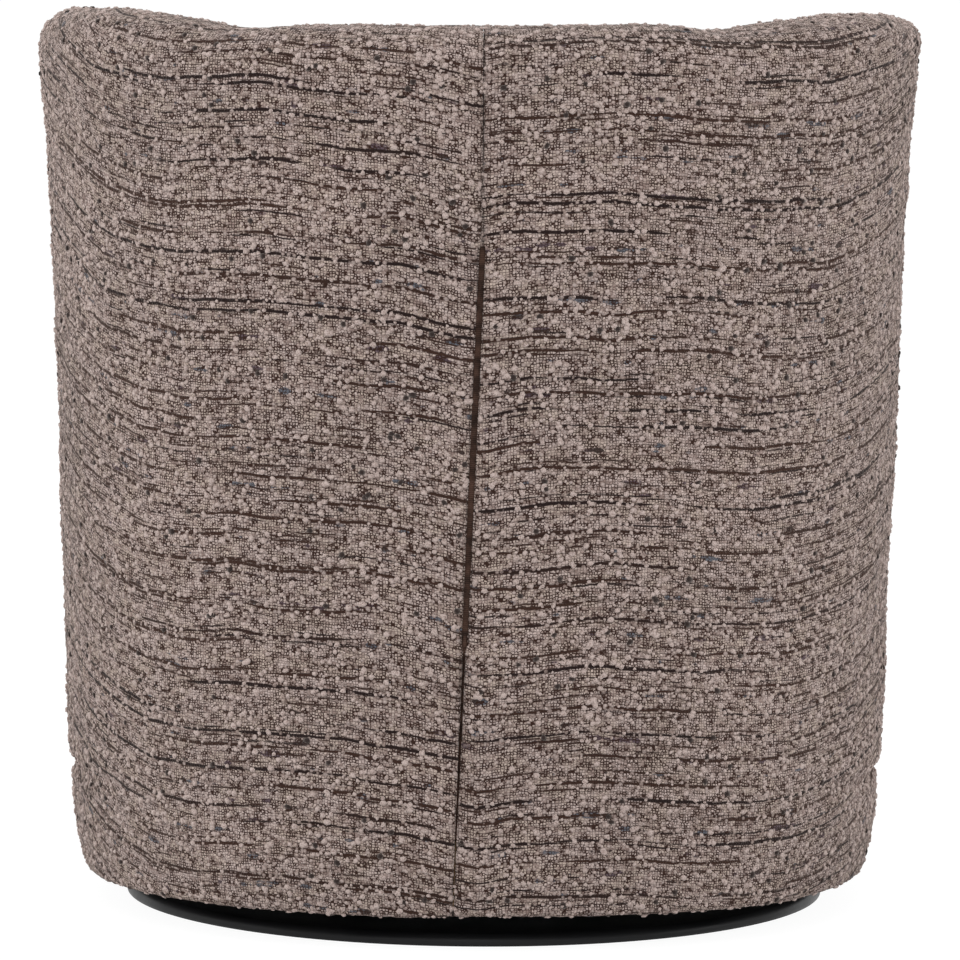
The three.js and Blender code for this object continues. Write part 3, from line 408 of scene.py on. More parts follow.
def mesh_object(name, points, faces, uv=None):
    """Object at the origin from points, faces and the weave's place at each point."""
    mesh = bpy.data.meshes.new(name)
    mesh.from_pydata(points.tolist(), [], faces)
    if uv is not None:
        set_weave(mesh, uv[read(mesh.loops, "vertex_index", kind=np.int32).ravel()])
    mesh.polygons.foreach_set("use_smooth", np.ones(len(mesh.polygons), bool))
    mesh.validate()
    mesh.update()
    piece = bpy.data.objects.new(name, mesh)
    bpy.context.scene.collection.objects.link(piece)
    return piece


def grid_object(name, points, uv=None, rows_close=True, columns_close=False):
    """Object through a grid: rows or columns close on themselves, and open ends get one face."""
    rows, columns = points.shape[:2]
    index = np.arange(rows * columns).reshape(rows, columns)
    if rows_close:
        index = np.vstack([index, index[:1]])
    if columns_close:
        index = np.hstack([index, index[:, :1]])
    corners = (index[:-1, :-1], index[:-1, 1:], index[1:, 1:], index[1:, :-1])
    quads = np.stack([c.ravel() for c in corners], axis=1)
    flat = points.reshape(-1, 3)
    ends = []
    if not columns_close:
        ring = np.arange(rows) * columns
        ends = [ring.tolist(), (ring + columns - 1)[::-1].tolist()]
    if not rows_close:
        ring = np.arange(columns)
        ends = [ring[::-1].tolist(), (ring + (rows - 1) * columns).tolist()]
    if volume_of(flat, quads) < 0:
        quads = quads[:, ::-1]
        ends = [end[::-1] for end in ends]
    return mesh_object(name, flat, quads.tolist() + ends, None if uv is None else uv.reshape(-1, 2))


def lathe(name, profile, segments):
    """Body of revolution about Z from a profile of radius and height that ends on the axis."""
    turn = np.arange(segments) * 2 * np.pi / segments
    radius, z = np.asarray(profile, float).T
    points = np.stack([
        radius[:, None] * np.sin(turn), radius[:, None] * np.cos(turn), z[:, None] + 0 * turn,
    ], axis=-1)
    return grid_object(name, points, rows_close=False, columns_close=True)


def finish_piece(piece, body, slot, material, *replaced):
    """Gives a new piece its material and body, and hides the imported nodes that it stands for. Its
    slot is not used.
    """
    piece.data.materials.clear()
    piece.data.materials.append(material)
    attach(piece, body)
    if replaced:
        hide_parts(*replaced)
    return piece


# The outside cover: a closed section, swept from the back seam to the arm's end

CELL = 0.0026  # height of the wall's cells
ARCH_ROWS = 52
ARCH_SAMPLES = 721
HEM_ROWS = 5
DROP_ROWS = 10
DROP_LEAN = 0.004  # how far the drop inside the rim leans back to the wall's inside
LEDGE = 0.006  # how far the cover goes on under the rim
HIDDEN_ROWS = (0.7, 0.4, 0.15, 0)  # heights of the rows behind the cover, as shares
BACK_COLUMNS, ARM_COLUMNS = 248, 100
SEWN = 0.006  # width beside a seam over which the cloth's unevenness starts


def arch_shares(s, count):
    """Even points over the rim's arch, a superellipse: depth share across and rise share up."""
    t = np.linspace(0, np.pi, ARCH_SAMPLES)
    power = 2 / s.arch_power
    across = -squared(np.cos(t), power)
    rise = np.abs(np.sin(t)) ** power
    even = spaced(np.stack([across * s.wall / 2, rise * s.arch_height], axis=1), count)
    return even[:, 0] / s.wall + 0.5, even[:, 1] / s.arch_height


def hem_rows(s, turn):
    """Depth and height of the lower edge's quarter round over a row of turns."""
    quarter = np.linspace(0, np.pi / 2, HEM_ROWS, endpoint=False)[:, None]
    depth = cover_depth(s, s.hem + s.hem_radius, turn) + s.hem_radius * (1 - np.sin(quarter))
    return depth, s.hem + s.hem_radius * (1 - np.cos(quarter)) + 0 * turn


def cover_section(s, turn, seam_pull):
    """Depth and height of the outside cover's rows over a row of turns: the hem's quarter round,
    the wall, the arch over the rim and the short drop inside it."""
    hem_depth, hem_z = hem_rows(s, turn)
    start = crest(s, turn, 0) - s.arch_height
    up = np.linspace(0, 1, int(s.back_height / CELL))[:, None]
    wall_z = mix(s.hem + s.hem_radius, start, up)
    under_rim = smoothstep((wall_z - start) / s.rim_height + 1)
    wall_depth = cover_depth(s, wall_z, turn) * (1 - under_rim)
    across, rise = (part[:, None] for part in arch_shares(s, ARCH_ROWS))
    shoulder = bump(turn, s.shoulder_turn, s.shoulder_spread) * smoothstep(1 - 2 * across[1:])
    arch_depth = across[1:] * s.wall - s.shoulder_push * rise[1:] * shoulder
    arch_z = crest(s, turn, arch_depth) + s.arch_height * (rise[1:] - 1)
    inner = np.linspace(0, 1, DROP_ROWS)[1:, None]
    drop_depth = s.wall - DROP_LEAN * inner**2 + 0 * turn
    drop_z = crest(s, turn, s.wall) - mix(s.arch_height, s.rim_height, inner)
    depth = np.vstack([hem_depth, wall_depth, arch_depth, drop_depth])
    return depth + seam_pull, np.vstack([hem_z, wall_z, arch_z, drop_z])


def cover_return(s, turn):
    """Depth and height of the hidden rows that close the section behind the cover."""
    depth = np.array([s.wall - LEDGE, s.pad_back, s.cover])[:, None] + 0 * turn
    z = crest(s, turn, depth) - s.rim_height
    low = np.array(HIDDEN_ROWS)[:, None]
    behind = np.full(low.shape, s.cover) + 0 * turn
    return np.vstack([depth, behind]), np.vstack([z, mix(s.hem, z[-1:], low)])


def draped(points, uv, seed):
    """Moves a grid out and in along its normals: soft filling, and the cloth's coarse knots."""
    u, v = uv[..., 0], uv[..., 1]
    soft = 0.0011 * soft_noise(u * 14, v * 11, seed) + 0.0007 * soft_noise(u * 37, v * 30, seed + 1)
    coarse = 0.0005 * soft_noise(u * 170, v * 190, seed + 2)
    fine = 0.0004 * soft_noise(u * 330, v * 340, seed + 3)
    return points + normals_of(points) * (soft + coarse + fine)[..., None]


def drape_face(points, uv, shown, beside, seed):
    """Drapes the shown rows of a panel in place, and holds them still at its sewn edges."""
    face = draped(points[:shown], uv[:shown], seed)
    points[:shown] = mix(points[:shown], face, smoothstep(beside / SEWN)[None, :, None])


def outwards(points):
    """Directions away from the axis, for the wall's lower rows only, where no row turns inside."""
    low = np.arange(len(points))[:, None, None] < len(points) // 2
    return points * np.array([1, 1, 0]) * low


def cover_panel(s, side, first, last, columns, at_seam):
    """One panel of the outside cover between two turns. at_seam bends its first edge along the
    back seam, and both edges are drawn in where they are sewn, as a bump beside the seam."""
    along = np.linspace(0, 1, columns)
    flat_turn = side * mix(first, last, along)
    width = reach(s, 0, 0) * (last - first)
    beside = np.minimum(along, 1 - along) * width
    depth, z = cover_section(s, flat_turn, s.seam_pull * bump(beside, 0, s.seam_width))
    back_depth, back_z = cover_return(s, flat_turn)
    shown = len(depth)
    depth, z = np.vstack([depth, back_depth]), np.vstack([z, back_z])
    if at_seam:
        seam_edge = seam_place(s, z) + side * seam_half_gap(s, z)
        edge = np.arctan2(seam_edge, reach(s, 0, lean_at(s, z)))
        turn = mix(edge, side * last, along)
    else:
        turn = flat_turn + 0 * z
    points = wall_point(s, turn, depth, z)
    u = reach(s, turn, 0.012) * turn
    v = s.hem + path_lengths(points[:shown])
    v = np.vstack([v, np.repeat(v[-1:], len(z) - shown, axis=0)]) - weft_rise(turn)
    v = v + CUT_SHIFT * (1 - side)
    uv = np.stack([u, v], axis=-1)
    drape_face(points, uv, shown, beside, seed=11)
    return points, uv, shown


# Curled knots of the cloth

KNOT_SIZE = (0.0021, 0.0018, 0.0010)  # along the weft, across it and out of the cloth
KNOT_LIFT = 0.0002  # how far a knot's middle stands out of the cloth
KNOT_TILT = 0.7  # turn out of the weft's direction, in radians
KNOT_SMALL, KNOT_LARGE = 0.65, 1.5
DARK_KNOTS = 0.035  # share of the knots that are of dark wool
DARK_SIZE = 1.35  # dark knots are at least this large
DARK_TONE = 4  # how far below the others their tone lies
ZIP_CLEAR = 0.0020  # no knot lies nearer than this to the gap over the zip
MESH_WEFT = (0.0, 0.35, 1.0)  # the weft on a mesh lies across this direction
MESH_CUT = 8  # the cushion is cut from another place of the cloth


def icosahedron():
    """Points and faces of an icosahedron of radius 1, from its three golden rectangles."""
    g = (1 + math.sqrt(5)) / 2
    points = np.array([
        (-1, g, 0), (1, g, 0), (-1, -g, 0), (1, -g, 0), (0, -1, g), (0, 1, g),
        (0, -1, -g), (0, 1, -g), (g, 0, -1), (g, 0, 1), (-g, 0, -1), (-g, 0, 1),
    ]) / math.hypot(1, g)
    near = np.linalg.norm(points[:, None] - points[None], axis=-1) < 1.1
    faces = [
        (i, j, k) for i in range(12) for j in range(i + 1, 12) for k in range(j + 1, 12)
        if near[i, j] and near[j, k] and near[i, k]
    ]
    outer = [f for f in faces if np.dot(points[f[0]], np.cross(points[f[1]], points[f[2]])) > 0]
    inner = [f[::-1] for f in faces if f not in outer]
    return points, np.array(outer + inner)


def grid_spots(points, normals, uv, random):
    """Places where a grid may carry a knot, one in each cell and shifted at random inside it:
    place, outward direction, weft direction, area and place in the weave."""
    along = np.gradient(points, axis=1)
    down = np.gradient(points, axis=0)
    area = np.linalg.norm(np.cross(along, down), axis=-1)
    shift = random.uniform(-0.5, 0.5, (2, *area.shape, 1))
    spots = points + along * shift[0] + down * shift[1]
    fields = (spots, normals, along, area[..., None], uv)
    return np.concatenate([field.reshape(area.size, -1) for field in fields], axis=1)


def mesh_spots(piece, keep):
    """The same at the middles of a mesh's faces whose middle and normal pass a test."""
    fields = (("center", 3), ("normal", 3), ("area", 1))
    place, out, area = (read(piece.data.polygons, field, width) for field, width in fields)
    weft = np.cross(out, np.array(MESH_WEFT))
    spots = np.concatenate([place, out, weft, area, place[:, :2] + MESH_CUT], axis=1)
    return spots[keep(place, out)]


def knots_object(name, spots, density, random):
    """Knots strewn over spots: small uneven balls, set half into the cloth and longer along the
    weft, thicker in some bands of it."""
    u, v = spots[:, 10], spots[:, 11]
    bands = 1 + 0.75 * soft_noise(u * 9, v * 58, 71) + 0.35 * soft_noise(u * 40, v * 25, 72)
    weight = spots[:, 9] * np.clip(bands, 0.12, None)
    count = int(spots[:, 9].sum() * density)
    chosen = random.choice(len(weight), count, replace=False, p=weight / weight.sum())
    centre, out, weft = (spots[chosen, k:k + 3] for k in (0, 3, 6))
    weft = weft / np.linalg.norm(weft, axis=1, keepdims=True)
    rise = np.cross(out, weft)
    tilt = random.uniform(-KNOT_TILT, KNOT_TILT, (count, 1))
    axis_a = weft * np.cos(tilt) + rise * np.sin(tilt)
    axis_b = rise * np.cos(tilt) - weft * np.sin(tilt)
    ball, faces = icosahedron()
    dark = random.uniform(0, 1, count) < DARK_KNOTS
    size = np.maximum(random.gamma(6, 1 / 6, count), DARK_SIZE * dark)[:, None, None]
    rough = random.uniform(0.65, 1.3, (count, 12, 1))
    shape = ball[None] * rough * np.clip(size, KNOT_SMALL, KNOT_LARGE) * np.array(KNOT_SIZE)
    body = (
        centre[:, None]
        + shape[..., :1] * axis_a[:, None]
        + shape[..., 1:2] * axis_b[:, None]
        + (shape[..., 2:] + KNOT_LIFT) * out[:, None]
    )
    every = (faces[None] + 12 * np.arange(count)[:, None, None]).reshape(-1, 3)
    piece = mesh_object(name, body.reshape(-1, 3), every.tolist())
    tone = piece.data.attributes.new("tone", "FLOAT", "POINT")
    # Half of each knot's tone is random and half is painted shade: lighter at its top, darker towards
    # the cloth.
    tone_and_shade = 0.5 * random.uniform(0, 1, (count, 1)) + 0.5 * ball[None, :, 2]
    tone_and_shade = tone_and_shade - DARK_TONE * dark[:, None]
    tone.data.foreach_set("value", tone_and_shade.astype(np.float32).ravel())
    return piece


# Materials

SHEEN_TINT = (0.82, 0.73, 0.67)  # warm, as the wool is


class Nodes:
    """A node tree while it is being made. Inputs are numbers, colours or other sockets."""

    def __init__(self, tree):
        self.tree = tree

    def set(self, node, inputs):
        """Sets or links inputs by name, with underscores for spaces, or by number."""
        for key, value in inputs.items():
            socket = node.inputs[key if isinstance(key, int) else key.replace("_", " ")]
            if isinstance(value, bpy.types.NodeSocket):
                self.tree.links.new(value, socket)
            elif hasattr(value, "__len__") and len(value) == 3 and socket.type == "RGBA":
                socket.default_value = (*value, 1)
            else:
                socket.default_value = value

    def node(self, kind, inputs=None, output=0, **settings):
        """Adds a node and returns one of its outputs."""
        node = self.tree.nodes.new(kind)
        for key, value in settings.items():
            setattr(node, key, value)
        self.set(node, inputs or {})
        return node.outputs[output]

    def maths(self, operation, *values):
        """A Math node."""
        return self.node("ShaderNodeMath", dict(enumerate(values)), operation=operation)

    def looked_at(self):
        """1 for rays that show a thing, directly, mirrored or through glass, and 0 for light."""
        ray = self.node("ShaderNodeLightPath")
        kinds = ray.node.outputs
        seen = self.maths("MAXIMUM", ray, kinds["Is Glossy Ray"])
        return self.maths("MAXIMUM", seen, kinds["Is Transmission Ray"])


class Finish(Nodes):
    """A material while it is being made, with the inputs of its shader by name."""

    def __init__(self, name, **shader):
        self.material = bpy.data.materials.new(name)
        self.material.use_nodes = True
        super().__init__(self.material.node_tree)
        self.shader = self.tree.nodes["Principled BSDF"]
        self.set(self.shader, shader)

    def colour(self, value):
        """Sets or links the shader's colour."""
        self.set(self.shader, {"Base_Color": value})

    def weave(self):
        """The piece's own map of the cloth, in metres."""
        return self.node("ShaderNodeUVMap", uv_map="weave")

    def place(self):
        """The place on the piece, in metres."""
        return self.node("ShaderNodeTexCoord", output=3)

    def scaled(self, vector, across, up, depth=1.0):
        """A vector stretched along its axes."""
        return self.node("ShaderNodeMapping", {"Vector": vector, "Scale": (across, up, depth)})

    def noise(self, vector, scale=1.0, detail=2.0, roughness=0.5):
        """Noise of about 0.2 to 0.8."""
        inputs = {"Vector": vector, "Scale": scale, "Detail": detail, "Roughness": roughness}
        return self.node("ShaderNodeTexNoise", inputs)

    def step(self, value, low, high, to_low=0.0, to_high=1.0):
        """A smooth step from one value to another between low and high."""
        inputs = {0: value, 1: low, 2: high, 3: to_low, 4: to_high}
        return self.node("ShaderNodeMapRange", inputs, interpolation_type="SMOOTHSTEP")

    def blend(self, factor, low, high):
        """Mixes two colours."""
        inputs = {0: factor, 6: low, 7: high}
        return self.node("ShaderNodeMix", inputs, output=2, data_type="RGBA")

    def over(self, mask):
        """How much of a dark line shows where a mask of pale knots may cover it."""
        return self.maths("MULTIPLY_ADD", mask, -0.8, 1.0)

    def bump(self, height, distance, strength=1.0):
        """Links a height in units of distance to the shader's normal."""
        inputs = {"Height": height, "Distance": distance, "Strength": strength}
        self.set(self.shader, {"Normal": self.node("ShaderNodeBump", inputs)})


def weft_lines(f, u, w, c, row, runs, thick, present):
    """Dark weft lines: a one-dimensional Voronoi spaces them unevenly up the cloth, and noise
    along each one gives its thickness, none where the noise is low. Returns mask and chance."""
    spread = f.node("ShaderNodeTexVoronoi", {"W": w, "Scale": 1 / row}, voronoi_dimensions="1D")
    chance = f.node("ShaderNodeSeparateColor", {0: spread.node.outputs[1]}).node.outputs
    away = f.maths("MULTIPLY", spread, row)
    own = f.maths("MULTIPLY_ADD", chance[0], 400.0, f.maths("MULTIPLY", u, 1 / runs))
    where = f.node("ShaderNodeCombineXYZ", {0: own, 1: f.maths("MULTIPLY", chance[1], 90.0)})
    run = f.noise(where, 1.0, detail=3.5, roughness=0.55)
    half = f.step(run, present - 0.06, present + 0.12, -c.pitch * 0.30, thick)
    return f.step(f.maths("SUBTRACT", half, away), -c.pitch * 0.10, c.pitch * 0.24), chance


def boucle_cloth(c):
    """Pebbled weave of pale yarn over gaps painted dark as shade: the distance to a Voronoi cell's
    edge. Over it lie curled knots, darker at their rims as painted shade, and dark, uneven weft lines
    in brown, black, slate and plum."""
    f = Finish("boucle_cloth", Roughness=0.92, Sheen_Weight=0.20, Sheen_Roughness=0.4)
    f.set(f.shader, {"Sheen_Tint": SHEEN_TINT, "Specular_IOR_Level": 0.2})
    uv = f.weave()
    parts = f.node("ShaderNodeSeparateXYZ", {0: uv}).node.outputs
    wander = f.noise(f.scaled(uv, 13, 5), detail=1.0)
    jitter = f.noise(f.scaled(uv, 150, 60), detail=1.0)
    w = f.maths("MULTIPLY_ADD", wander, 0.012, parts[1])
    w = f.maths("MULTIPLY_ADD", jitter, 0.0016, w)
    along = (f, parts[0], w, c)
    fine, fine_chance = weft_lines(*along, row=0.0070, runs=0.070, thick=0.0009, present=0.49)
    long, long_chance = weft_lines(*along, row=0.0165, runs=0.160, thick=0.0015, present=0.42)
    slub, _ = weft_lines(*along, row=0.0150, runs=0.026, thick=0.0030, present=0.575)

    # The weave: yarn in two tones over gaps of painted shade, darker in some rows and dyed along the
    # slubs
    rate = 1 / c.pitch
    crooked = {"Vector": f.scaled(uv, 160, 160), "Scale": 1.0, "Detail": 1.0}
    tangle = f.node("ShaderNodeTexNoise", crooked, output=1)
    inputs = {0: tangle, 1: (0.0023,) * 3, 2: uv}
    bent = f.node("ShaderNodeVectorMath", inputs, operation="MULTIPLY_ADD")
    size = {"Vector": f.scaled(bent, rate * 0.92, rate * 1.06), "Scale": 1.0, "Randomness": 0.48}
    edge = f.node("ShaderNodeTexVoronoi", size, feature="DISTANCE_TO_EDGE")
    cell = f.node("ShaderNodeTexVoronoi", size).node.outputs[1]
    chance = f.node("ShaderNodeSeparateColor", {0: cell}).node.outputs
    loose = f.step(f.noise(f.scaled(uv, 120, 160), detail=2.0), 0.38, 0.66, 0.15, -0.01)
    rise = f.maths("SUBTRACT", edge, loose)
    yarn_mask = f.step(rise, -0.045, 0.135)
    warm = f.step(f.noise(f.scaled(uv, 34, 52), detail=2.0), 0.38, 0.62)
    yarn = f.blend(warm, c.yarn, c.yarn_warm)
    row_tone = f.noise(f.scaled(uv, 26, 210), detail=2.0)
    lifted = f.maths("MULTIPLY_ADD", row_tone, 0.55, f.maths("MULTIPLY", chance[0], 0.30))
    yarn = f.blend(f.step(lifted, 0.20, 0.52), c.knot_deep_and_shade, yarn)
    hue = f.noise(f.scaled(uv, 9, 60), detail=0.0)
    dye = f.blend(f.step(hue, 0.40, 0.44), c.plum, c.black)
    dye = f.blend(f.step(hue, 0.50, 0.54), dye, c.slate)
    yarn = f.blend(f.maths("MULTIPLY", slub, 0.92), yarn, dye)
    base = f.blend(yarn_mask, c.gap, yarn)

    # Curled knots: round cells of a coarser Voronoi, wanted more in some bands of the weft, each
    # darkened towards its rim as painted shade
    where = f.scaled(uv, rate * 0.46, rate * 0.54)
    curls = f.node("ShaderNodeTexVoronoi", {"Vector": where, "Scale": 1.0, "Randomness": 1.0})
    curl = f.node("ShaderNodeSeparateColor", {0: curls.node.outputs[1]}).node.outputs
    band = f.noise(f.scaled(uv, 8, 60), detail=1.0)
    wanted = f.step(f.maths("MULTIPLY_ADD", band, 1.2, curl[0]), 0.93, 1.0)
    radius = f.maths("MULTIPLY_ADD", curl[1], 0.18, 0.32)
    ball = f.maths("SUBTRACT", 1.0, f.maths("DIVIDE", curls, radius))
    knot_mask = f.maths("MULTIPLY", f.step(ball, 0.0, 0.2), wanted)
    # Painted shade: each knot's colour darkens to the deep wool towards its rim.
    knot = f.blend(f.step(ball, 0.0, 0.65), c.knot_deep_and_shade, f.blend(curl[2], yarn, c.knot))
    base = f.blend(knot_mask, base, knot)

    # Dark weft lines over both, thinner where a knot covers them
    dye = f.blend(f.step(fine_chance[2], 0.50, 0.90), c.brown, c.black)
    base = f.blend(f.maths("MULTIPLY", fine, f.over(knot_mask)), base, dye)
    dye = f.blend(f.step(long_chance[2], 0.20, 0.50), c.black, c.brown)
    base = f.blend(f.maths("MULTIPLY", long, f.over(knot_mask)), base, dye)
    dark = f.maths("MAXIMUM", fine, long)
    shade = f.step(f.noise(f.scaled(uv, 5, 9), detail=2.0), 0.25, 0.75, 0.92, 1.08)
    tinted = f.node("ShaderNodeVectorMath", {0: base, "Scale": shade}, operation="SCALE")
    f.colour(tinted)
    round_knot = f.maths("MULTIPLY", f.step(ball, 0.0, 0.9), wanted)
    relief = f.maths("MULTIPLY_ADD", round_knot, 1.5, f.step(rise, -0.08, 0.32))
    f.bump(f.maths("MULTIPLY_ADD", dark, -0.8, relief), 0.0009, 0.9)
    return f.material


def boucle_knots(c):
    """Pale curled wool with a fuzzy surface: each knot has its own tone, with painted shade that
    darkens it towards the cloth, and a few are dark.
    """
    f = Finish("boucle_knots", Roughness=0.95, Sheen_Weight=0.4, Sheen_Roughness=0.6)
    f.set(f.shader, {"Sheen_Tint": SHEEN_TINT, "Specular_IOR_Level": 0.15})
    tone = f.node("ShaderNodeAttribute", output=2, attribute_name="tone")
    curl = f.noise(f.place(), 900, detail=2.0)
    # The tone attribute holds painted shade, darker towards the cloth, as well as each knot's own
    # tone.
    own = f.blend(f.step(tone, -0.45, 0.65), c.knot_deep_and_shade, c.knot)
    pale = f.blend(f.step(curl, 0.30, 0.56), c.knot_deep_and_shade, own)
    f.colour(f.blend(f.step(tone, -2.0, -1.0), c.black, pale))
    f.bump(curl, 0.0006, 0.8)
    return f.material


def timber_finish():
    """Sawn hardwood: grain along the piece's height, with fine pores."""
    f = Finish("timber", Roughness=0.7)
    where = f.place()
    rings = f.noise(f.scaled(where, 26, 26, 2.2), detail=4.0, roughness=0.6)
    pores = f.noise(f.scaled(where, 420, 420, 22), detail=2.0)
    tone = f.maths("MULTIPLY_ADD", pores, 0.35, rings)
    pale, dark = (0.53, 0.33, 0.17), (0.28, 0.15, 0.07)
    f.colour(f.blend(f.step(tone, 0.5, 0.85), pale, dark))
    f.bump(pores, 0.0004, 0.5)
    return f.material


def metal_finish(name, light, dark, roughness, metallic, scale, specular=0.5):
    """Metal or its coating: cloudy tone, fine grain in its roughness and a slight relief."""
    f = Finish(name, Metallic=metallic, Specular_IOR_Level=specular)
    where = f.place()
    cloud = f.noise(where, scale, detail=4.0)
    grain = f.noise(where, scale * 45, detail=2.0)
    f.colour(f.blend(f.step(cloud, 0.3, 0.7), dark, light))
    mixed = f.maths("MULTIPLY_ADD", grain, 0.4, cloud)
    uneven = f.step(mixed, 0.4, 1.0, roughness - 0.08, roughness + 0.1)
    f.set(f.shader, {"Roughness": uneven})
    f.bump(grain, 0.00012, 0.35)
    return f.material


def matt_finish(name, light, dark, roughness, scale, relief):
    """Rubber, nylon or plain cloth: two close tones and a fine relief."""
    f = Finish(name, Roughness=roughness)
    where = f.place()
    cloud = f.noise(where, scale, detail=3.0)
    grain = f.noise(where, scale * 30, detail=2.0)
    f.colour(f.blend(f.step(cloud, 0.3, 0.7), dark, light))
    f.bump(grain, relief, 0.6)
    return f.material


def woven_finish(name, light, dark, pitch):
    """Plain platform cloth: a fine grid of yarn on object coordinates."""
    f = Finish(name, Roughness=0.9)
    parts = f.node("ShaderNodeSeparateXYZ", {0: f.place()}).node.outputs
    rate = 2 * math.pi / pitch
    waves = [f.maths("SINE", f.maths("MULTIPLY", parts[k], rate)) for k in (0, 1, 2)]
    grid = f.maths("ADD", f.maths("MULTIPLY", waves[0], waves[1]), waves[2])
    f.colour(f.blend(f.step(grid, -1.0, 1.0), dark, light))
    f.bump(grid, 0.0003, 0.6)
    return f.material


def zip_finish(c):
    """Brown zip: close woven ribs along its coil and tape, on a worn tone."""
    f = Finish("zip_brown", Roughness=0.8, Specular_IOR_Level=0.15)
    parts = f.node("ShaderNodeSeparateXYZ", {0: f.place()}).node.outputs
    ribs = f.maths("SINE", f.maths("MULTIPLY", parts[2], 2 * math.pi / 0.0016))
    worn = f.noise(f.place(), 120, detail=2.0)
    lifted = f.maths("MULTIPLY_ADD", ribs, 0.08, worn)
    deep = (0.020, 0.011, 0.008)
    f.colour(f.blend(f.step(lifted, 0.2, 0.9), deep, c.zip_brown))
    f.bump(ribs, 0.0003, 0.8)
    return f.material


def cloth_material(context):
    """The boucle, made once."""
    return bpy.data.materials.get("boucle_cloth") or boucle_cloth(context.scene.rocker_cloth)


def knot_material(context):
    """The knots' wool, made once."""
    return bpy.data.materials.get("boucle_knots") or boucle_knots(context.scene.rocker_cloth)


# The padded pieces

SPOT_SEED = 1000  # added to a piece's seed for the places where its knots may lie
PAD_ROWS = 136
PAD_COLUMNS = {"back": 210, "arm": 120}
PAD_TUCK = 0.0006  # gap between a pad's top and the rim
PAD_FULL_BESIDE = 0.03  # a pad has its full swell this far beside a seam
PAD_FULL_BELOW = 0.05  # and this far below its top
PAD_SEWN = 0.003  # how far a pad is drawn in where it is sewn
PAD_CUT = (2.0, 3.0)  # each kind of piece is cut from another place of the cloth
FACING_CUT = (4, 2)
FRONT_CUT = (6, 1)
FACING_ARCH, FACING_SIDE, FACING_UNDER = 40, 90, 20  # points round its arch, each side and foot
FACING_ROWS = 30
FACING_EDGE = 0.30  # share of a facing's depth that stands straight
FACING_CORNER = 0.002  # how far it is drawn in there, as a share
FACING_PROUD = 0.001  # turn by which its crown stands past the arm's end
FACING_FOOT = 0.006  # height of its crown's foot above its own
FRONT_COLUMNS, FRONT_ROWS = 236, 108
FRONT_LIP = 0.007  # rounding of the front panel's upper edge
FRONT_MIDDLE = 0.2  # height of a hidden row behind the front panel


def dress(context, name, spots, seed):
    """Strews knots over the spots of a padded piece, and lets them ride with it."""
    density = context.scene.rocker_cloth.knot_share * 1000
    knots = knots_object(name, spots, density, np.random.default_rng(seed))
    return finish_piece(knots, "body", "cloth", knot_material(context))


def clear_of_seam(s, spots):
    """True for the spots that leave the gap of the back seam open."""
    x, y, z = spots[:, :3].T
    gap = seam_half_gap(s, z)
    beside = np.abs(x - seam_place(s, z)) > gap + ZIP_CLEAR * (gap / s.zip_gap) ** 2
    return (y < s.half_depth - s.wall / 2) | beside


def dress_grid(context, name, points, uv, out, seed):
    """Strews knots over a grid, on the side of it that the field out points to."""
    normals = normals_of(points)
    normals *= np.sign((normals * out).sum(-1).mean())
    spots = grid_spots(points, normals, uv, np.random.default_rng(seed + SPOT_SEED))
    dress(context, name, spots[clear_of_seam(context.scene.rocker_shell, spots)], seed)


class ROCKER_OT_outside_cover(bpy.types.Operator):
    """Outside cover: two back panels that meet in the leaning seam and two arm panels, each one
    piece from the hem over the rim"""

    bl_idname = "rocker.outside_cover"
    bl_label = "Outside cover"

    def execute(self, context):
        s = context.scene.rocker_shell
        gap, facing = seam_turn(s), facing_turn(s)
        seed = 100
        for name, side in SIDES:
            backs = (f"outside_back_{name}", f"rim_roll_{name}")
            panels = (
                ("back", 0.0, s.side_seam - gap, BACK_COLUMNS, backs),
                ("arm", s.side_seam + gap, facing - gap, ARM_COLUMNS, (f"outside_arm_{name}",)),
            )
            for part, first, last, columns, nodes in panels:
                points, uv, shown = cover_panel(s, side, first, last, columns, part == "back")
                piece = grid_object(f"cover_{part}_{name}", points, uv)
                finish_piece(piece, "body", "cloth", cloth_material(context), *nodes)
                seed += 1
                face = points[:shown]
                dress_grid(context, f"knots_{part}_{name}", face, uv[:shown], outwards(face), seed)
        return {"FINISHED"}


def pad_grid(s, seat, first, last, columns):
    """An inside pad between two turns: a face that swells from its sewn edges, and a flat back."""
    along = np.linspace(0, 1, columns)
    turn = mix(first, last, along)
    top = crest(s, turn, s.wall) - s.rim_height - PAD_TUCK
    up = np.linspace(0, 1, PAD_ROWS)[:, None]
    z = mix(PAD_FOOT, top, up)
    width = abs(last - first) * (s.half_width - s.wall)
    beside = np.minimum(along, 1 - along) * width
    full = smoothstep(beside / PAD_FULL_BESIDE) * smoothstep((top - z) / PAD_FULL_BELOW)
    pull = bump(beside, 0, SEWN) + bump(z, top, SEWN)
    depth = s.wall + seat.swell * full * np.sin(np.pi * np.clip(up, 0.05, 0.95)) ** 0.5
    depth = depth - PAD_SEWN * np.minimum(1, pull)
    back_z = np.vstack([top, mix(PAD_FOOT, top, 0.5), np.full(columns, PAD_FOOT)])
    back_depth = np.full(back_z.shape, s.pad_back)
    points = wall_point(s, turn, np.vstack([depth, back_depth]), np.vstack([z, back_z]))
    u = (s.half_width - s.wall) * turn + PAD_CUT[0]
    v = np.vstack([z, back_z]) + PAD_CUT[1]
    uv = np.stack([u + 0 * v, v], axis=-1)
    drape_face(points, uv, len(z), beside, seed=31)
    return points, uv, len(z)


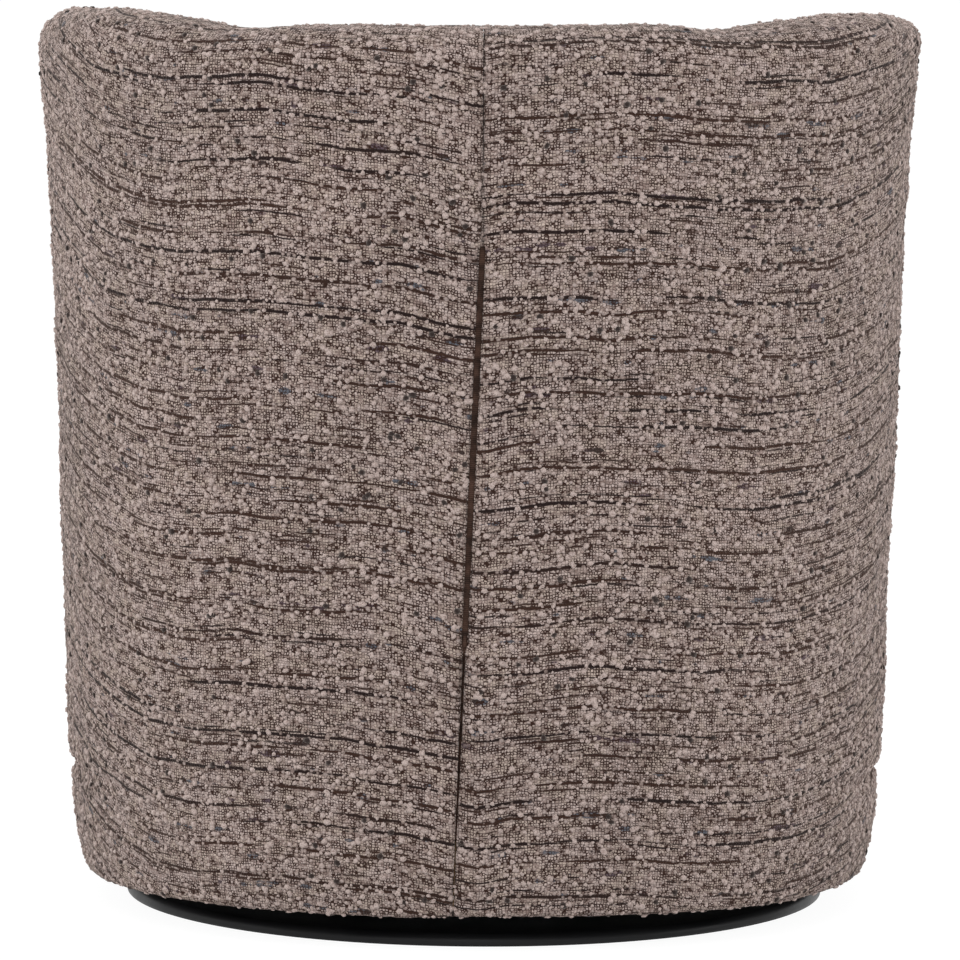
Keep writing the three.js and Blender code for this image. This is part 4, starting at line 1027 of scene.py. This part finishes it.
class ROCKER_OT_inside_pads(bpy.types.Operator):
    """Inside pads: one across the back and one on each arm, sewn under the rim"""

    bl_idname = "rocker.inside_pads"
    bl_label = "Inside pads"

    def execute(self, context):
        s, seat = context.scene.rocker_shell, context.scene.rocker_seat
        gap, facing = seam_turn(s), facing_turn(s)
        pads = [("inside_back", "inside_back_pad", -s.back_pad_end, s.back_pad_end, "back")]
        for name, side in SIDES:
            ends = (side * (s.back_pad_end + gap), side * (facing - gap))
            pads.append((f"inside_arm_{name}", f"inside_arm_pad_{name}", *ends, "arm"))
        for seed, (name, node, first, last, kind) in enumerate(pads, start=200):
            points, uv, shown = pad_grid(s, seat, first, last, PAD_COLUMNS[kind])
            piece = grid_object(name, points, uv)
            finish_piece(piece, "body", "cloth", cloth_material(context), node)
            face = points[:shown]
            dress_grid(context, f"knots_{name}", face, uv[:shown], -face, seed)
        return {"FINISHED"}


def facing_grid(s, side):
    """A facing: the wall's section at the arm's end, drawn towards its middle line as it comes
    forward, so that its front is crowned."""
    across, rise = arch_shares(s, FACING_ARCH)
    low = DECK_TOP + HAIRLINE
    top = crest(s, s.arm_end, s.wall * across)
    arch_z = top + s.arch_height * (rise - 1)
    up = np.linspace(0, 1, FACING_SIDE)
    left_z = mix(low, arch_z[0], up)[:-1]
    right_z = mix(arch_z[-1], low, up)[1:]
    under = np.linspace(1, 0, FACING_UNDER)[1:-1]
    depth = np.concatenate([0 * left_z, s.wall * across, s.wall + 0 * right_z, s.wall * under])
    z = np.concatenate([left_z, arch_z, right_z, low + 0 * under])
    middle_z = np.clip(z, low + FACING_FOOT, top.mean() - s.wall / 2)
    start = facing_turn(s) + seam_turn(s)
    sink = np.pi / 2 * np.linspace(0, 1, FACING_ROWS)[1:]
    inwards = np.concatenate([[0, FACING_CORNER], 1 - np.cos(sink)])[:, None]
    crowned = mix(FACING_EDGE, 1, np.sin(sink) ** 0.8)
    forward = np.concatenate([[0, FACING_EDGE], crowned])[:, None]
    rows_depth = mix(depth, s.wall / 2, inwards)
    rows_z = mix(z, middle_z, inwards)
    turn = side * mix(start, s.arm_end + FACING_PROUD, forward)
    points = wall_point(s, turn + 0 * rows_z, rows_depth, rows_z)
    uv = np.stack([rows_depth + side + FACING_CUT[0], rows_z + FACING_CUT[1]], axis=-1)
    return points, uv


class ROCKER_OT_arm_facings(bpy.types.Operator):
    """Arm facings: the padded front ends of the arms"""

    bl_idname = "rocker.arm_facings"
    bl_label = "Arm facings"

    def execute(self, context):
        s = context.scene.rocker_shell
        front = np.array([0.0, -1.0, 0.0])
        for name, side in SIDES:
            points, uv = facing_grid(s, side)
            label = f"facing_{name}"
            piece = grid_object(label, points, uv, rows_close=False, columns_close=True)
            finish_piece(piece, "body", "cloth", cloth_material(context), f"arm_facing_{name}")
            dress_grid(context, f"knots_facing_{name}", points[1:], uv[1:], front, 300 + side)
        return {"FINISHED"}


def front_grid(s):
    """The front panel between the facings: the hem's quarter round, the wall and a quarter round
    under the cushion, drawn in at both ends as bumps, and a hidden back."""
    facing = facing_turn(s) + seam_turn(s)
    along = np.linspace(0, 1, FRONT_COLUMNS)
    turn = mix(facing, 2 * np.pi - facing, along)
    mirror = np.minimum(turn, 2 * np.pi - turn)
    hem_depth, hem_z = hem_rows(s, mirror)
    low, high = s.hem + s.hem_radius, DECK_TOP - FRONT_LIP
    wall_z = mix(low, high, np.linspace(0, 1, FRONT_ROWS)[:, None]) + 0 * turn
    quarter = np.linspace(0, np.pi / 2, HEM_ROWS + 1)[1:, None]
    lip_z = high + FRONT_LIP * np.sin(quarter) + 0 * turn
    lip_depth = cover_depth(s, high, mirror) + FRONT_LIP * (1 - np.cos(quarter))
    beside = np.minimum(along, 1 - along) * (2 * np.pi - 2 * facing) * s.half_width
    pull = s.seam_pull * bump(beside, 0, s.seam_width)
    depth = np.vstack([hem_depth, cover_depth(s, wall_z, mirror), lip_depth]) + pull
    z = np.vstack([hem_z, wall_z, lip_z])
    shown = len(z)
    back_z = np.array([DECK_TOP, FRONT_MIDDLE, s.hem])[:, None] + 0 * turn
    depth = np.vstack([depth, np.full(back_z.shape, s.cover)])
    z = np.vstack([z, back_z])
    points = wall_point(s, turn, depth, z)
    u = s.half_width * (turn - np.pi) + FRONT_CUT[0] + 0 * z
    uv = np.stack([u, z + FRONT_CUT[1]], axis=-1)
    drape_face(points, uv, shown, beside, seed=41)
    return points, uv, shown


class ROCKER_OT_front_cover(bpy.types.Operator):
    """Front cover: the padded panel under the cushion"""

    bl_idname = "rocker.front_cover"
    bl_label = "Front cover"

    def execute(self, context):
        points, uv, shown = front_grid(context.scene.rocker_shell)
        piece = grid_object("front_cover", points, uv)
        finish_piece(piece, "body", "cloth", cloth_material(context), "front_panel")
        face = points[:shown]
        dress_grid(context, "knots_front", face, uv[:shown], outwards(face), 400)
        return {"FINISHED"}


# The seat cushion

SEAM_DROP = 0.060  # the seat's plan is taken this far below the seat height
EAR_SHARES = ((0, 0), (0.07, 0.25), (0.16, 0.52), (0.3, 0.76), (0.5, 0.91), (0.74, 0.98), (1, 1))
CHUNK = 40  # outline points that are compared at a time
CUSHION_CENTRE = (0.0, -0.045)
CUSHION_COLUMNS, CUSHION_RINGS, CUSHION_SIDE = 420, 60, 24
CUSHION_LIFT = 0.002  # gap between the cushion and its deck
CELL_SIZE = 0.006  # of the remeshed cushion
PUFF_FRAMES = 20
LEVEL_NORMAL = 0.62  # faces that look up or down more than this take the flat weave
SIDE_CUT, CUSHION_CUT = 4, 8  # where its side and the whole are cut from the cloth
LOW_SEAM = 0.006  # height of the lower seam above the cushion's foot
HIGH_SEAM = 0.010  # depth of the upper seam under the crown's edge
SEAM_SPREAD = 0.0036  # half height over which a seam draws the cloth in
SEAM_NEAR = 0.045  # no point further inside the outline belongs to a seam
EVEN_FOOT = 0.01  # height of the cushion's foot that stays even
BARE_FOOT = 0.004  # and of the part of it that carries no knots
DECK_COLUMNS, DECK_RINGS = 300, 12
DECK_BULGE = 1.004  # swell of the deck's edge
DECK_CROWN = 0.001  # how far its top falls towards its edge


def seat_outline(s, seat, inside, front, count):
    """Plan of a seat layer: a depth inside the wall's outline along the arms, then out to another
    depth in front of them, with the step rounded by a table of shares."""
    turn = np.linspace(-np.pi, np.pi, count * 8, endpoint=False)
    past = (np.abs(turn) - s.arm_end - seat.ear_start) / seat.ear_turn
    depth = mix(inside, front, np.interp(past, *zip(*EAR_SHARES)))
    r = reach(s, turn, depth + lean_at(s, seat.height - SEAM_DROP))
    plan = np.stack([r * np.sin(turn), r * np.cos(turn)], axis=1)
    plan = spaced(np.vstack([plan, plan[:1]]), count + 1)[:-1]
    for _ in range(2):
        plan = (np.roll(plan, 1, axis=0) + 2 * plan + np.roll(plan, -1, axis=0)) / 4
    return plan


def edge_distance(plan, outline):
    """Distance from each point of a plan to the nearest point of an outline."""
    gap = np.full(len(plan), np.inf)
    for start in range(0, len(outline), CHUNK):
        some = outline[start:start + CHUNK]
        gap = np.minimum(gap, np.linalg.norm(plan[:, None] - some[None], axis=-1).min(1))
    return gap


def cushion_grid(s, seat):
    """Closed cushion: rings from the middle of its foot, up its drawn-in side and over its crown,
    which rises in a quarter round with the distance from its seam."""
    outline = seat_outline(s, seat, s.wall + seat.clearance, -seat.overhang, CUSHION_COLUMNS)
    centre = np.array(CUSHION_CENTRE)
    spread = outline - centre
    unit = spread / np.linalg.norm(spread, axis=1, keepdims=True)
    low = CUSHION_FOOT + CUSHION_LIFT
    edge_top = seat.height - seat.crown
    side = np.linspace(0, 1, CUSHION_SIDE + 2)[1:-1]
    bulge = 1 - (2 * side - 1) ** 4
    shares = np.linspace(0, 1, CUSHION_RINGS)[1:]
    flat = [centre + spread * q - unit * seat.draw_in * q for q in shares]
    sides = [outline - unit * seat.draw_in * (1 - b) for b in bulge]
    plan = np.stack([*flat, *sides, *flat[::-1]])
    top = plan[-len(flat):]
    rim = outline - unit * seat.draw_in
    far = edge_distance(top.reshape(-1, 2), rim).reshape(top.shape[:2])
    level = 1 - np.minimum(1, far / seat.crown_reach)
    z = np.empty(plan.shape[:2])
    z[:len(flat)] = low
    z[len(flat):-len(flat)] = mix(low, edge_top, side)[:, None]
    z[-len(flat):] = edge_top + seat.crown * np.sqrt(1 - level**2)
    return np.concatenate([plan, z[..., None]], axis=-1), outline


def puffed(piece, seat):
    """Blows the cushion up as cloth, with how far each point may move capped, and applies it."""
    piece.modifiers.new("remesh", "REMESH").voxel_size = CELL_SIZE
    bpy.context.view_layer.objects.active = piece
    bpy.ops.object.modifier_apply(modifier="remesh")
    before = read(piece.data.vertices, "co", 3)
    cloth = piece.modifiers.new("cloth", "CLOTH")
    cloth.settings.quality = 4
    cloth.settings.use_pressure = True
    cloth.settings.uniform_pressure_force = 4
    cloth.settings.effector_weights.gravity = 0
    cloth.settings.tension_stiffness = 12
    cloth.settings.bending_stiffness = 0.6
    cloth.point_cache.frame_end = PUFF_FRAMES
    scene = bpy.context.scene
    for step in range(1, PUFF_FRAMES + 1):
        scene.frame_set(step)
    evaluated = piece.evaluated_get(bpy.context.evaluated_depsgraph_get())
    move = read(evaluated.data.vertices, "co", 3) - before
    piece.modifiers.remove(cloth)
    scene.frame_set(1)
    size = np.linalg.norm(move, axis=1, keepdims=True)
    capped = move * np.minimum(1, seat.puff / np.maximum(size, 1e-9))
    piece.data.vertices.foreach_set("co", (before + capped).ravel())


def boxed_weave(piece):
    """The weave's map on a cushion: flat on its top and foot, and round its side."""
    mesh = piece.data
    corner = read(mesh.loops, "vertex_index", kind=np.int32).ravel()
    co = read(mesh.vertices, "co", 3)[corner]
    corners = read(mesh.polygons, "loop_total", kind=np.int32).ravel()
    facing = np.repeat(read(mesh.polygons, "normal", 3), corners, axis=0)
    level = np.abs(facing[:, 2]) > LEVEL_NORMAL
    turn = np.arctan2(facing[:, 0], facing[:, 1])
    round_side = co[:, 0] * np.cos(turn) - co[:, 1] * np.sin(turn)
    side = np.stack([round_side, co[:, 2] + SIDE_CUT], axis=1)
    set_weave(mesh, np.where(level[:, None], co[:, :2], side) + CUSHION_CUT)


def sew(piece, seat, outline):
    """Draws the cushion's two seams in as bumps, and gives its cloth a soft unevenness."""
    mesh = piece.data
    co, normal = read(mesh.vertices, "co", 3), read(mesh.vertices, "normal", 3)
    near = np.flatnonzero(edge_distance(co[:, :2], outline) < SEAM_NEAR)
    depth = np.zeros(len(co))
    for level in (CUSHION_FOOT + LOW_SEAM, seat.height - seat.crown - HIGH_SEAM):
        depth[near] += seat.seam_groove * bump(co[near, 2], level, SEAM_SPREAD)
    soft = 0.0012 * soft_noise(co[:, 0] * 17, co[:, 1] * 15, 51)
    coarse = 0.0007 * soft_noise(co[:, 0] * 170 + co[:, 2] * 150, co[:, 1] * 180, 52)
    move = np.where(co[:, 2] > CUSHION_FOOT + EVEN_FOOT, soft + coarse, 0) - depth
    mesh.vertices.foreach_set("co", (co + normal * move[:, None]).astype(np.float32).ravel())
    mesh.update()


def cushion_shows(place, out):
    """True on the cushion's top and side, and not under it."""
    return (place[:, 2] > CUSHION_FOOT + BARE_FOOT) & (out[:, 2] > -0.5)


class ROCKER_OT_seat_cushion(bpy.types.Operator):
    """Seat cushion: crowned and stepped out in front of the arms, and the deck under it"""

    bl_idname = "rocker.seat_cushion"
    bl_label = "Seat cushion"

    def execute(self, context):
        s, seat = context.scene.rocker_shell, context.scene.rocker_seat
        points, outline = cushion_grid(s, seat)
        piece = grid_object("cushion", points, rows_close=False, columns_close=True)
        bpy.context.view_layer.objects.active = piece
        puffed(piece, seat)
        piece.modifiers.new("smooth", "SUBSURF").levels = 1
        bpy.ops.object.modifier_apply(modifier="smooth")
        sew(piece, seat, outline)
        boxed_weave(piece)
        finish_piece(piece, "body", "cloth", cloth_material(context), "seat_cushion")
        dress(context, "knots_cushion", mesh_spots(piece, cushion_shows), 500)
        self.deck(s, seat)
        return {"FINISHED"}

    def deck(self, s, seat):
        """The deck's platform cloth, a thin padded sheet over the seat springs."""
        clear = seat.deck_gap
        outline = seat_outline(s, seat, s.wall + clear, s.cover + clear, DECK_COLUMNS)
        low, high = (v.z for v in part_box("seat_deck"))
        shares = np.linspace(0, 1, DECK_RINGS)[1:]
        rings = [outline * q for q in (*shares, DECK_BULGE, *shares[::-1])]
        top = [high - DECK_CROWN * q**6 for q in shares[::-1]]
        z = [*[low] * len(shares), (low + high) / 2, *top]
        points = np.stack([
            np.concatenate([ring, np.full((len(ring), 1), height)], axis=1)
            for ring, height in zip(rings, z)
        ])
        piece = grid_object("deck", points, rows_close=False, columns_close=True)
        light, dark = (0.17, 0.135, 0.115), (0.07, 0.05, 0.042)
        cloth = woven_finish("platform_cloth", light, dark, pitch=0.0016)
        finish_piece(piece, "body", "foam", cloth, "seat_deck")


# The zip

COIL_ROWS, COIL_POINTS = 1290, 14
COIL_PITCH = 0.0015
COIL_SWELL = 0.16  # share by which each turn of the coil swells
HALF_COIL = (0.0029, 0.0016)  # half width and half depth of the coil on its tape
COIL_RECESS = 0.0050  # how far behind the cloth its middle lies
COIL_END = 0.0005  # how far it stops short of the zip's head
TAPE_SINK = 0.0045  # how much deeper the tape goes on below the zip's foot
TAPE_FALL = 0.010  # height over which it sinks there
SLIDER_ROWS, SLIDER_POINTS = 24, 24
HALF_SLIDER = (0.0018, 0.0014)  # half width and half depth of the slider
SLIDER_WAIST = 0.18
SLIDER_RECESS = 0.0030
SLIDER_CLEAR = 0.0002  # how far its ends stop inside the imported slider's


def zip_line(s, z, recess):
    """Point on the zip's straight line at heights z, a recess behind the cloth."""
    ends = np.array([s.zip_foot, s.zip_head])
    depth = cover_depth(s, ends, 0.0) + recess
    y = reach(s, 0.0, lean_at(s, ends) + depth)
    x = seam_place(s, ends)
    t = (z - s.zip_foot) / (s.zip_head - s.zip_foot)
    return np.stack([mix(x[0], x[1], t), mix(y[0], y[1], t), z], axis=-1)


class ROCKER_OT_zip(bpy.types.Operator):
    """Concealed zip: the coil, its tape going on behind the loose seam, and the slider"""

    bl_idname = "rocker.zip"
    bl_label = "Zip"

    def execute(self, context):
        s = context.scene.rocker_shell
        brown = zip_finish(context.scene.rocker_cloth)
        z = np.linspace(s.seam_close, s.zip_head - COIL_END, COIL_ROWS)
        centre = zip_line(s, z, COIL_RECESS)
        centre[:, 1] -= TAPE_SINK * smoothstep((s.zip_foot - z) / TAPE_FALL)
        wave = np.linspace(0, 2 * np.pi, COIL_POINTS, endpoint=False)
        teeth = 1 + COIL_SWELL * np.cos(2 * np.pi * z / COIL_PITCH)
        x = HALF_COIL[0] * squared(np.cos(wave), 0.6)
        y = HALF_COIL[1] * np.sin(wave)
        inner = np.abs(np.cos(wave)) < 0.75
        swell = np.where(inner[:, None], teeth[None], 1.0)
        points = centre[None] + np.stack([x[:, None] + 0 * z, y[:, None] * swell, 0 * swell], axis=-1)
        tape = grid_object("zip_tape_coil", points)
        finish_piece(tape, "body", "zip", brown, "zip_tape")
        self.slider(s, brown)
        return {"FINISHED"}

    def slider(self, s, brown):
        """Slider: a superellipse section along its height, rounded at its ends and waisted."""
        low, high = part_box("zip_slider")
        z = np.linspace(low.z + SLIDER_CLEAR, high.z - SLIDER_CLEAR, SLIDER_ROWS)
        end = np.sin(np.pi * np.linspace(0.06, 0.94, SLIDER_ROWS)) ** 0.35
        waist = 1 - SLIDER_WAIST * np.sin(np.pi * np.linspace(0, 1, SLIDER_ROWS)) ** 2
        wave = np.linspace(0, 2 * np.pi, SLIDER_POINTS, endpoint=False)
        x = HALF_SLIDER[0] * squared(np.cos(wave), 0.5)[:, None] * end * waist
        y = HALF_SLIDER[1] * squared(np.sin(wave), 0.7)[:, None] * end
        points = zip_line(s, z, SLIDER_RECESS)[None] + np.stack([x, y, 0 * x], axis=-1)
        piece = grid_object("zip_slider_body", points)
        finish_piece(piece, "zip", "zip", brown, "zip_slider")


# Base, underside and frame

DISC_RINGS = (0.1, 0.2, 0.28)  # radii of the rings on the disc's top
DISC_HOLLOW = 0.15  # radius of a ring under it
DISC_SEGMENTS = 192
EDGE_STEPS = 9
AXIS = 1e-5  # radius of a profile's ends on the axis
DUST_COLUMNS, DUST_ROWS = 160, 18
DUST_INSET = 0.001  # gap between the dust cover and the body's cover
DUST_SAG = 0.0011
DUST_RIPPLE, DUST_RIPPLES = 0.0003, 24
DUST_SHEET = 0.0005  # thickness of its cloth


class ROCKER_OT_base(bpy.types.Operator):
    """Round base: the steel disc with its rolled edge, and the dust cover under the body"""

    bl_idname = "rocker.base"
    bl_label = "Base"

    def execute(self, context):
        b = context.scene.rocker_base
        bend = np.linspace(0, np.pi / 2, EDGE_STEPS)
        side = DISC_TOP - b.shoulder + b.shoulder * np.cos(bend)
        out = DISC_RADIUS - b.shoulder + b.shoulder * np.sin(bend)
        profile = [(AXIS, DISC_TOP), *((r, DISC_TOP) for r in DISC_RINGS)]
        profile += [*zip(out, np.maximum(side, b.lip)), (DISC_RADIUS, b.lip)]
        profile += [
            (DISC_RADIUS - b.sheet, b.lip),
            (DISC_RADIUS - b.sheet, DISC_TOP - b.shoulder),
            (DISC_RADIUS - b.shoulder, DISC_TOP - b.sheet),
            (DISC_HOLLOW, DISC_TOP - b.sheet),
            (AXIS, DISC_TOP - b.sheet),
        ]
        disc = lathe("steel_disc", profile, DISC_SEGMENTS)
        steel = metal_finish(
            "black_steel", (0.014, 0.014, 0.015), (0.008, 0.008, 0.009),
            roughness=0.42, metallic=0.0, scale=9, specular=0.2,
        )
        finish_piece(disc, "base", "black_steel", steel, "base_disc")
        self.dust_cover(context)
        return {"FINISHED"}

    def dust_cover(self, context):
        """Dust cover: a stretched ring of thin cloth. It sags as half a sine between hem and
        hole, and ripples as a sine round its edge."""
        s, b = context.scene.rocker_shell, context.scene.rocker_base
        turn = np.linspace(0, 2 * np.pi, DUST_COLUMNS, endpoint=False)
        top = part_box("dust_cover")[1].z
        outer = reach(s, turn, lean_at(s, top) + s.cover + DUST_INSET)
        t = np.linspace(0, 1, DUST_ROWS)[:, None]
        r = mix(b.hole, outer, t)
        ripple = DUST_RIPPLE * np.sin(turn * DUST_RIPPLES) * t**3
        level = top - DUST_RIPPLE - DUST_SAG * np.sin(np.pi * t) + ripple
        upper = np.stack([r * np.sin(turn), r * np.cos(turn), level], axis=-1)
        lower = upper[::-1] - np.array([0, 0, DUST_SHEET])
        points = np.concatenate([upper, lower])
        piece = grid_object("dust_cloth", points, rows_close=True, columns_close=True)
        cloth = matt_finish(
            "dust_cloth_black", (0.018, 0.018, 0.018), (0.008, 0.008, 0.008),
            roughness=0.95, scale=60, relief=0.0003,
        )
        finish_piece(piece, "body", "black_cloth", cloth, "dust_cover")


class ROCKER_OT_frame_finishes(bpy.types.Operator):
    """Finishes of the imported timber, steel, rubber and nylon"""

    bl_idname = "rocker.frame_finishes"
    bl_label = "Frame finishes"

    def execute(self, context):
        finishes = {
            "timber": timber_finish(),
            "black_steel": metal_finish(
                "mechanism_black", (0.03, 0.03, 0.031), (0.016, 0.016, 0.017),
                roughness=0.45, metallic=0.0, scale=14,
            ),
            "zinc_steel": metal_finish(
                "zinc_steel", (0.62, 0.63, 0.65), (0.45, 0.46, 0.5),
                roughness=0.32, metallic=1.0, scale=30,
            ),
            "spring_steel": metal_finish(
                "spring_steel", (0.20, 0.20, 0.22), (0.10, 0.10, 0.11),
                roughness=0.4, metallic=1.0, scale=40,
            ),
            "black_rubber": matt_finish(
                "black_rubber", (0.020, 0.020, 0.020), (0.011, 0.011, 0.011),
                roughness=0.85, scale=30, relief=0.0004,
            ),
            "nylon": matt_finish(
                "nylon", (0.76, 0.75, 0.70), (0.66, 0.65, 0.60),
                roughness=0.45, scale=40, relief=0.0002,
            ),
            "foam": matt_finish(
                "wadding", (0.78, 0.72, 0.60), (0.62, 0.56, 0.45),
                roughness=0.95, scale=80, relief=0.001,
            ),
            "black_cloth": bpy.data.materials.get("dust_cloth_black"),
            "cloth": cloth_material(context),
            "zip": bpy.data.materials.get("zip_brown"),
        }
        slots = {row["node"]: row["material_slot"] for row in frame["record"]["subparts"]}
        for node, piece in frame["nodes"].items():
            piece.data.materials.clear()
            piece.data.materials.append(finishes[slots[node]])
        return {"FINISHED"}


# Stage

SURROUND_LIGHT = 0.62  # strength of the surround as light; it shows at full strength
FLOOR_HALF = 40.0
FLOOR_GLOW, FLOOR_SHARE = 1.12, 0.84  # the floor's own light, and its share where it is seen
LAMP_AIM = (0, 0, 0.35)
LAMPS = (  # name, place, width and power
    ("lamp_back", (0.6, 3.6, 3.0), 3.2, 60),
    ("lamp_left", (3.6, 0.9, 2.0), 2.6, 50),
    ("lamp_right", (-3.6, 0.9, 2.0), 2.6, 48),
    ("lamp_front", (0.4, -3.6, 2.6), 3.0, 44),
)
CAMERA_PLACE = (0, 5.53, 0.93)
CAMERA_AIM = (0, 0, 0.3603)
CAMERA_ROLL = 0.40  # degrees
LENS, SENSOR = 238.0, 36
SHIFT = 3.3 / 960  # the axis stands this share of the picture beside its middle


def aimed(where, aim):
    """The turn of a lamp or camera that looks from one place to another."""
    return (Vector(aim) - Vector(where)).to_track_quat("-Z", "Y").to_euler()


class ROCKER_OT_stage(bpy.types.Operator):
    """Stage: a pale floor, a white surround, soft lamps and the camera behind the chair"""

    bl_idname = "rocker.stage"
    bl_label = "Stage"

    def execute(self, context):
        scene = context.scene
        scene.view_settings.view_transform = "Standard"
        self.world(scene)
        self.floor()
        self.lamps(scene)
        self.camera(scene)
        return {"FINISHED"}

    def world(self, scene):
        """White to the camera and to reflections, and a plain soft light on everything else."""
        world = bpy.data.worlds.new("surround")
        scene.world = world
        world.use_nodes = True
        f = Nodes(world.node_tree)
        inputs = {"Value": f.looked_at(), "To Min": SURROUND_LIGHT, "To Max": 1.0}
        strength = f.node("ShaderNodeMapRange", inputs)
        f.set(f.tree.nodes["Background"], {"Color": (1, 1, 1), "Strength": strength})

    def floor(self):
        """A wide pale floor that shows white and keeps a light shadow."""
        corners = FLOOR_HALF * np.array([(-1, -1, 0), (1, -1, 0), (1, 1, 0), (-1, 1, 0)])
        floor = mesh_object("floor", corners, [(0, 1, 2, 3)])
        f = Finish("floor_white", Roughness=0.9, Specular_IOR_Level=0.0)
        f.colour((0.82, 0.82, 0.82))
        glow = f.node("ShaderNodeEmission", {"Strength": FLOOR_GLOW})
        share_seen = f.maths("MULTIPLY", f.looked_at(), FLOOR_SHARE)
        both = f.node("ShaderNodeMixShader", {0: share_seen, 1: f.shader.outputs[0], 2: glow})
        f.tree.links.new(both, f.tree.nodes["Material Output"].inputs[0])
        floor.data.materials.append(f.material)

    def lamps(self, scene):
        """Large soft lamps: one over the camera's side, one on each flank and one in front."""
        for name, where, size, power in LAMPS:
            lamp = bpy.data.lights.new(name, "AREA")
            lamp.size = size
            lamp.energy = power
            holder = bpy.data.objects.new(name, lamp)
            holder.location = where
            holder.rotation_euler = aimed(where, LAMP_AIM)
            scene.collection.objects.link(holder)

    def camera(self, scene):
        """The photograph's camera: behind the chair, far off and a little above its middle."""
        camera = bpy.data.cameras.new("camera")
        camera.sensor_width = SENSOR
        camera.lens = LENS
        camera.shift_x = SHIFT
        camera.clip_start, camera.clip_end = 0.1, 100
        holder = bpy.data.objects.new("camera", camera)
        holder.location = CAMERA_PLACE
        holder.rotation_euler = aimed(CAMERA_PLACE, CAMERA_AIM)
        holder.rotation_euler.rotate_axis("Z", math.radians(CAMERA_ROLL))
        scene.collection.objects.link(holder)
        scene.camera = holder


class ROCKER_PT_panel(bpy.types.Panel):
    """Lists the sizes and the pieces in the sidebar"""

    bl_label = "Barrel swivel rocker"
    bl_idname = "ROCKER_PT_panel"
    bl_space_type = "VIEW_3D"
    bl_region_type = "UI"
    bl_category = "Rocker"

    def draw(self, context):
        layout = self.layout
        for operator in OPERATORS:
            layout.operator(operator.bl_idname)
        for label, kind in GROUPS.items():
            box = layout.box()
            for name in kind.__annotations__:
                box.prop(getattr(context.scene, label), name)


GROUPS = {
    "rocker_shell": RockerShell,
    "rocker_seat": RockerSeat,
    "rocker_cloth": RockerCloth,
    "rocker_base": RockerBase,
}
OPERATORS = (
    ROCKER_OT_stage,
    ROCKER_OT_base,
    ROCKER_OT_outside_cover,
    ROCKER_OT_inside_pads,
    ROCKER_OT_arm_facings,
    ROCKER_OT_front_cover,
    ROCKER_OT_seat_cushion,
    ROCKER_OT_zip,
    ROCKER_OT_frame_finishes,
)


def register():
    for group in GROUPS.values():
        bpy.utils.register_class(group)
    for name, group in GROUPS.items():
        setattr(bpy.types.Scene, name, bpy.props.PointerProperty(type=group))
    for operator in (*OPERATORS, ROCKER_PT_panel):
        bpy.utils.register_class(operator)


def unregister():
    for operator in reversed((*OPERATORS, ROCKER_PT_panel)):
        bpy.utils.unregister_class(operator)
    for name, group in reversed(GROUPS.items()):
        delattr(bpy.types.Scene, name)
        bpy.utils.unregister_class(group)


def main():
    """Makes the stage and every piece, in order."""
    register()
    bpy.ops.rocker.stage()
    bpy.ops.rocker.base()
    bpy.ops.rocker.outside_cover()
    bpy.ops.rocker.inside_pads()
    bpy.ops.rocker.arm_facings()
    bpy.ops.rocker.front_cover()
    bpy.ops.rocker.seat_cushion()
    bpy.ops.rocker.zip()
    bpy.ops.rocker.frame_finishes()


if __name__ == "__main__":
    main()
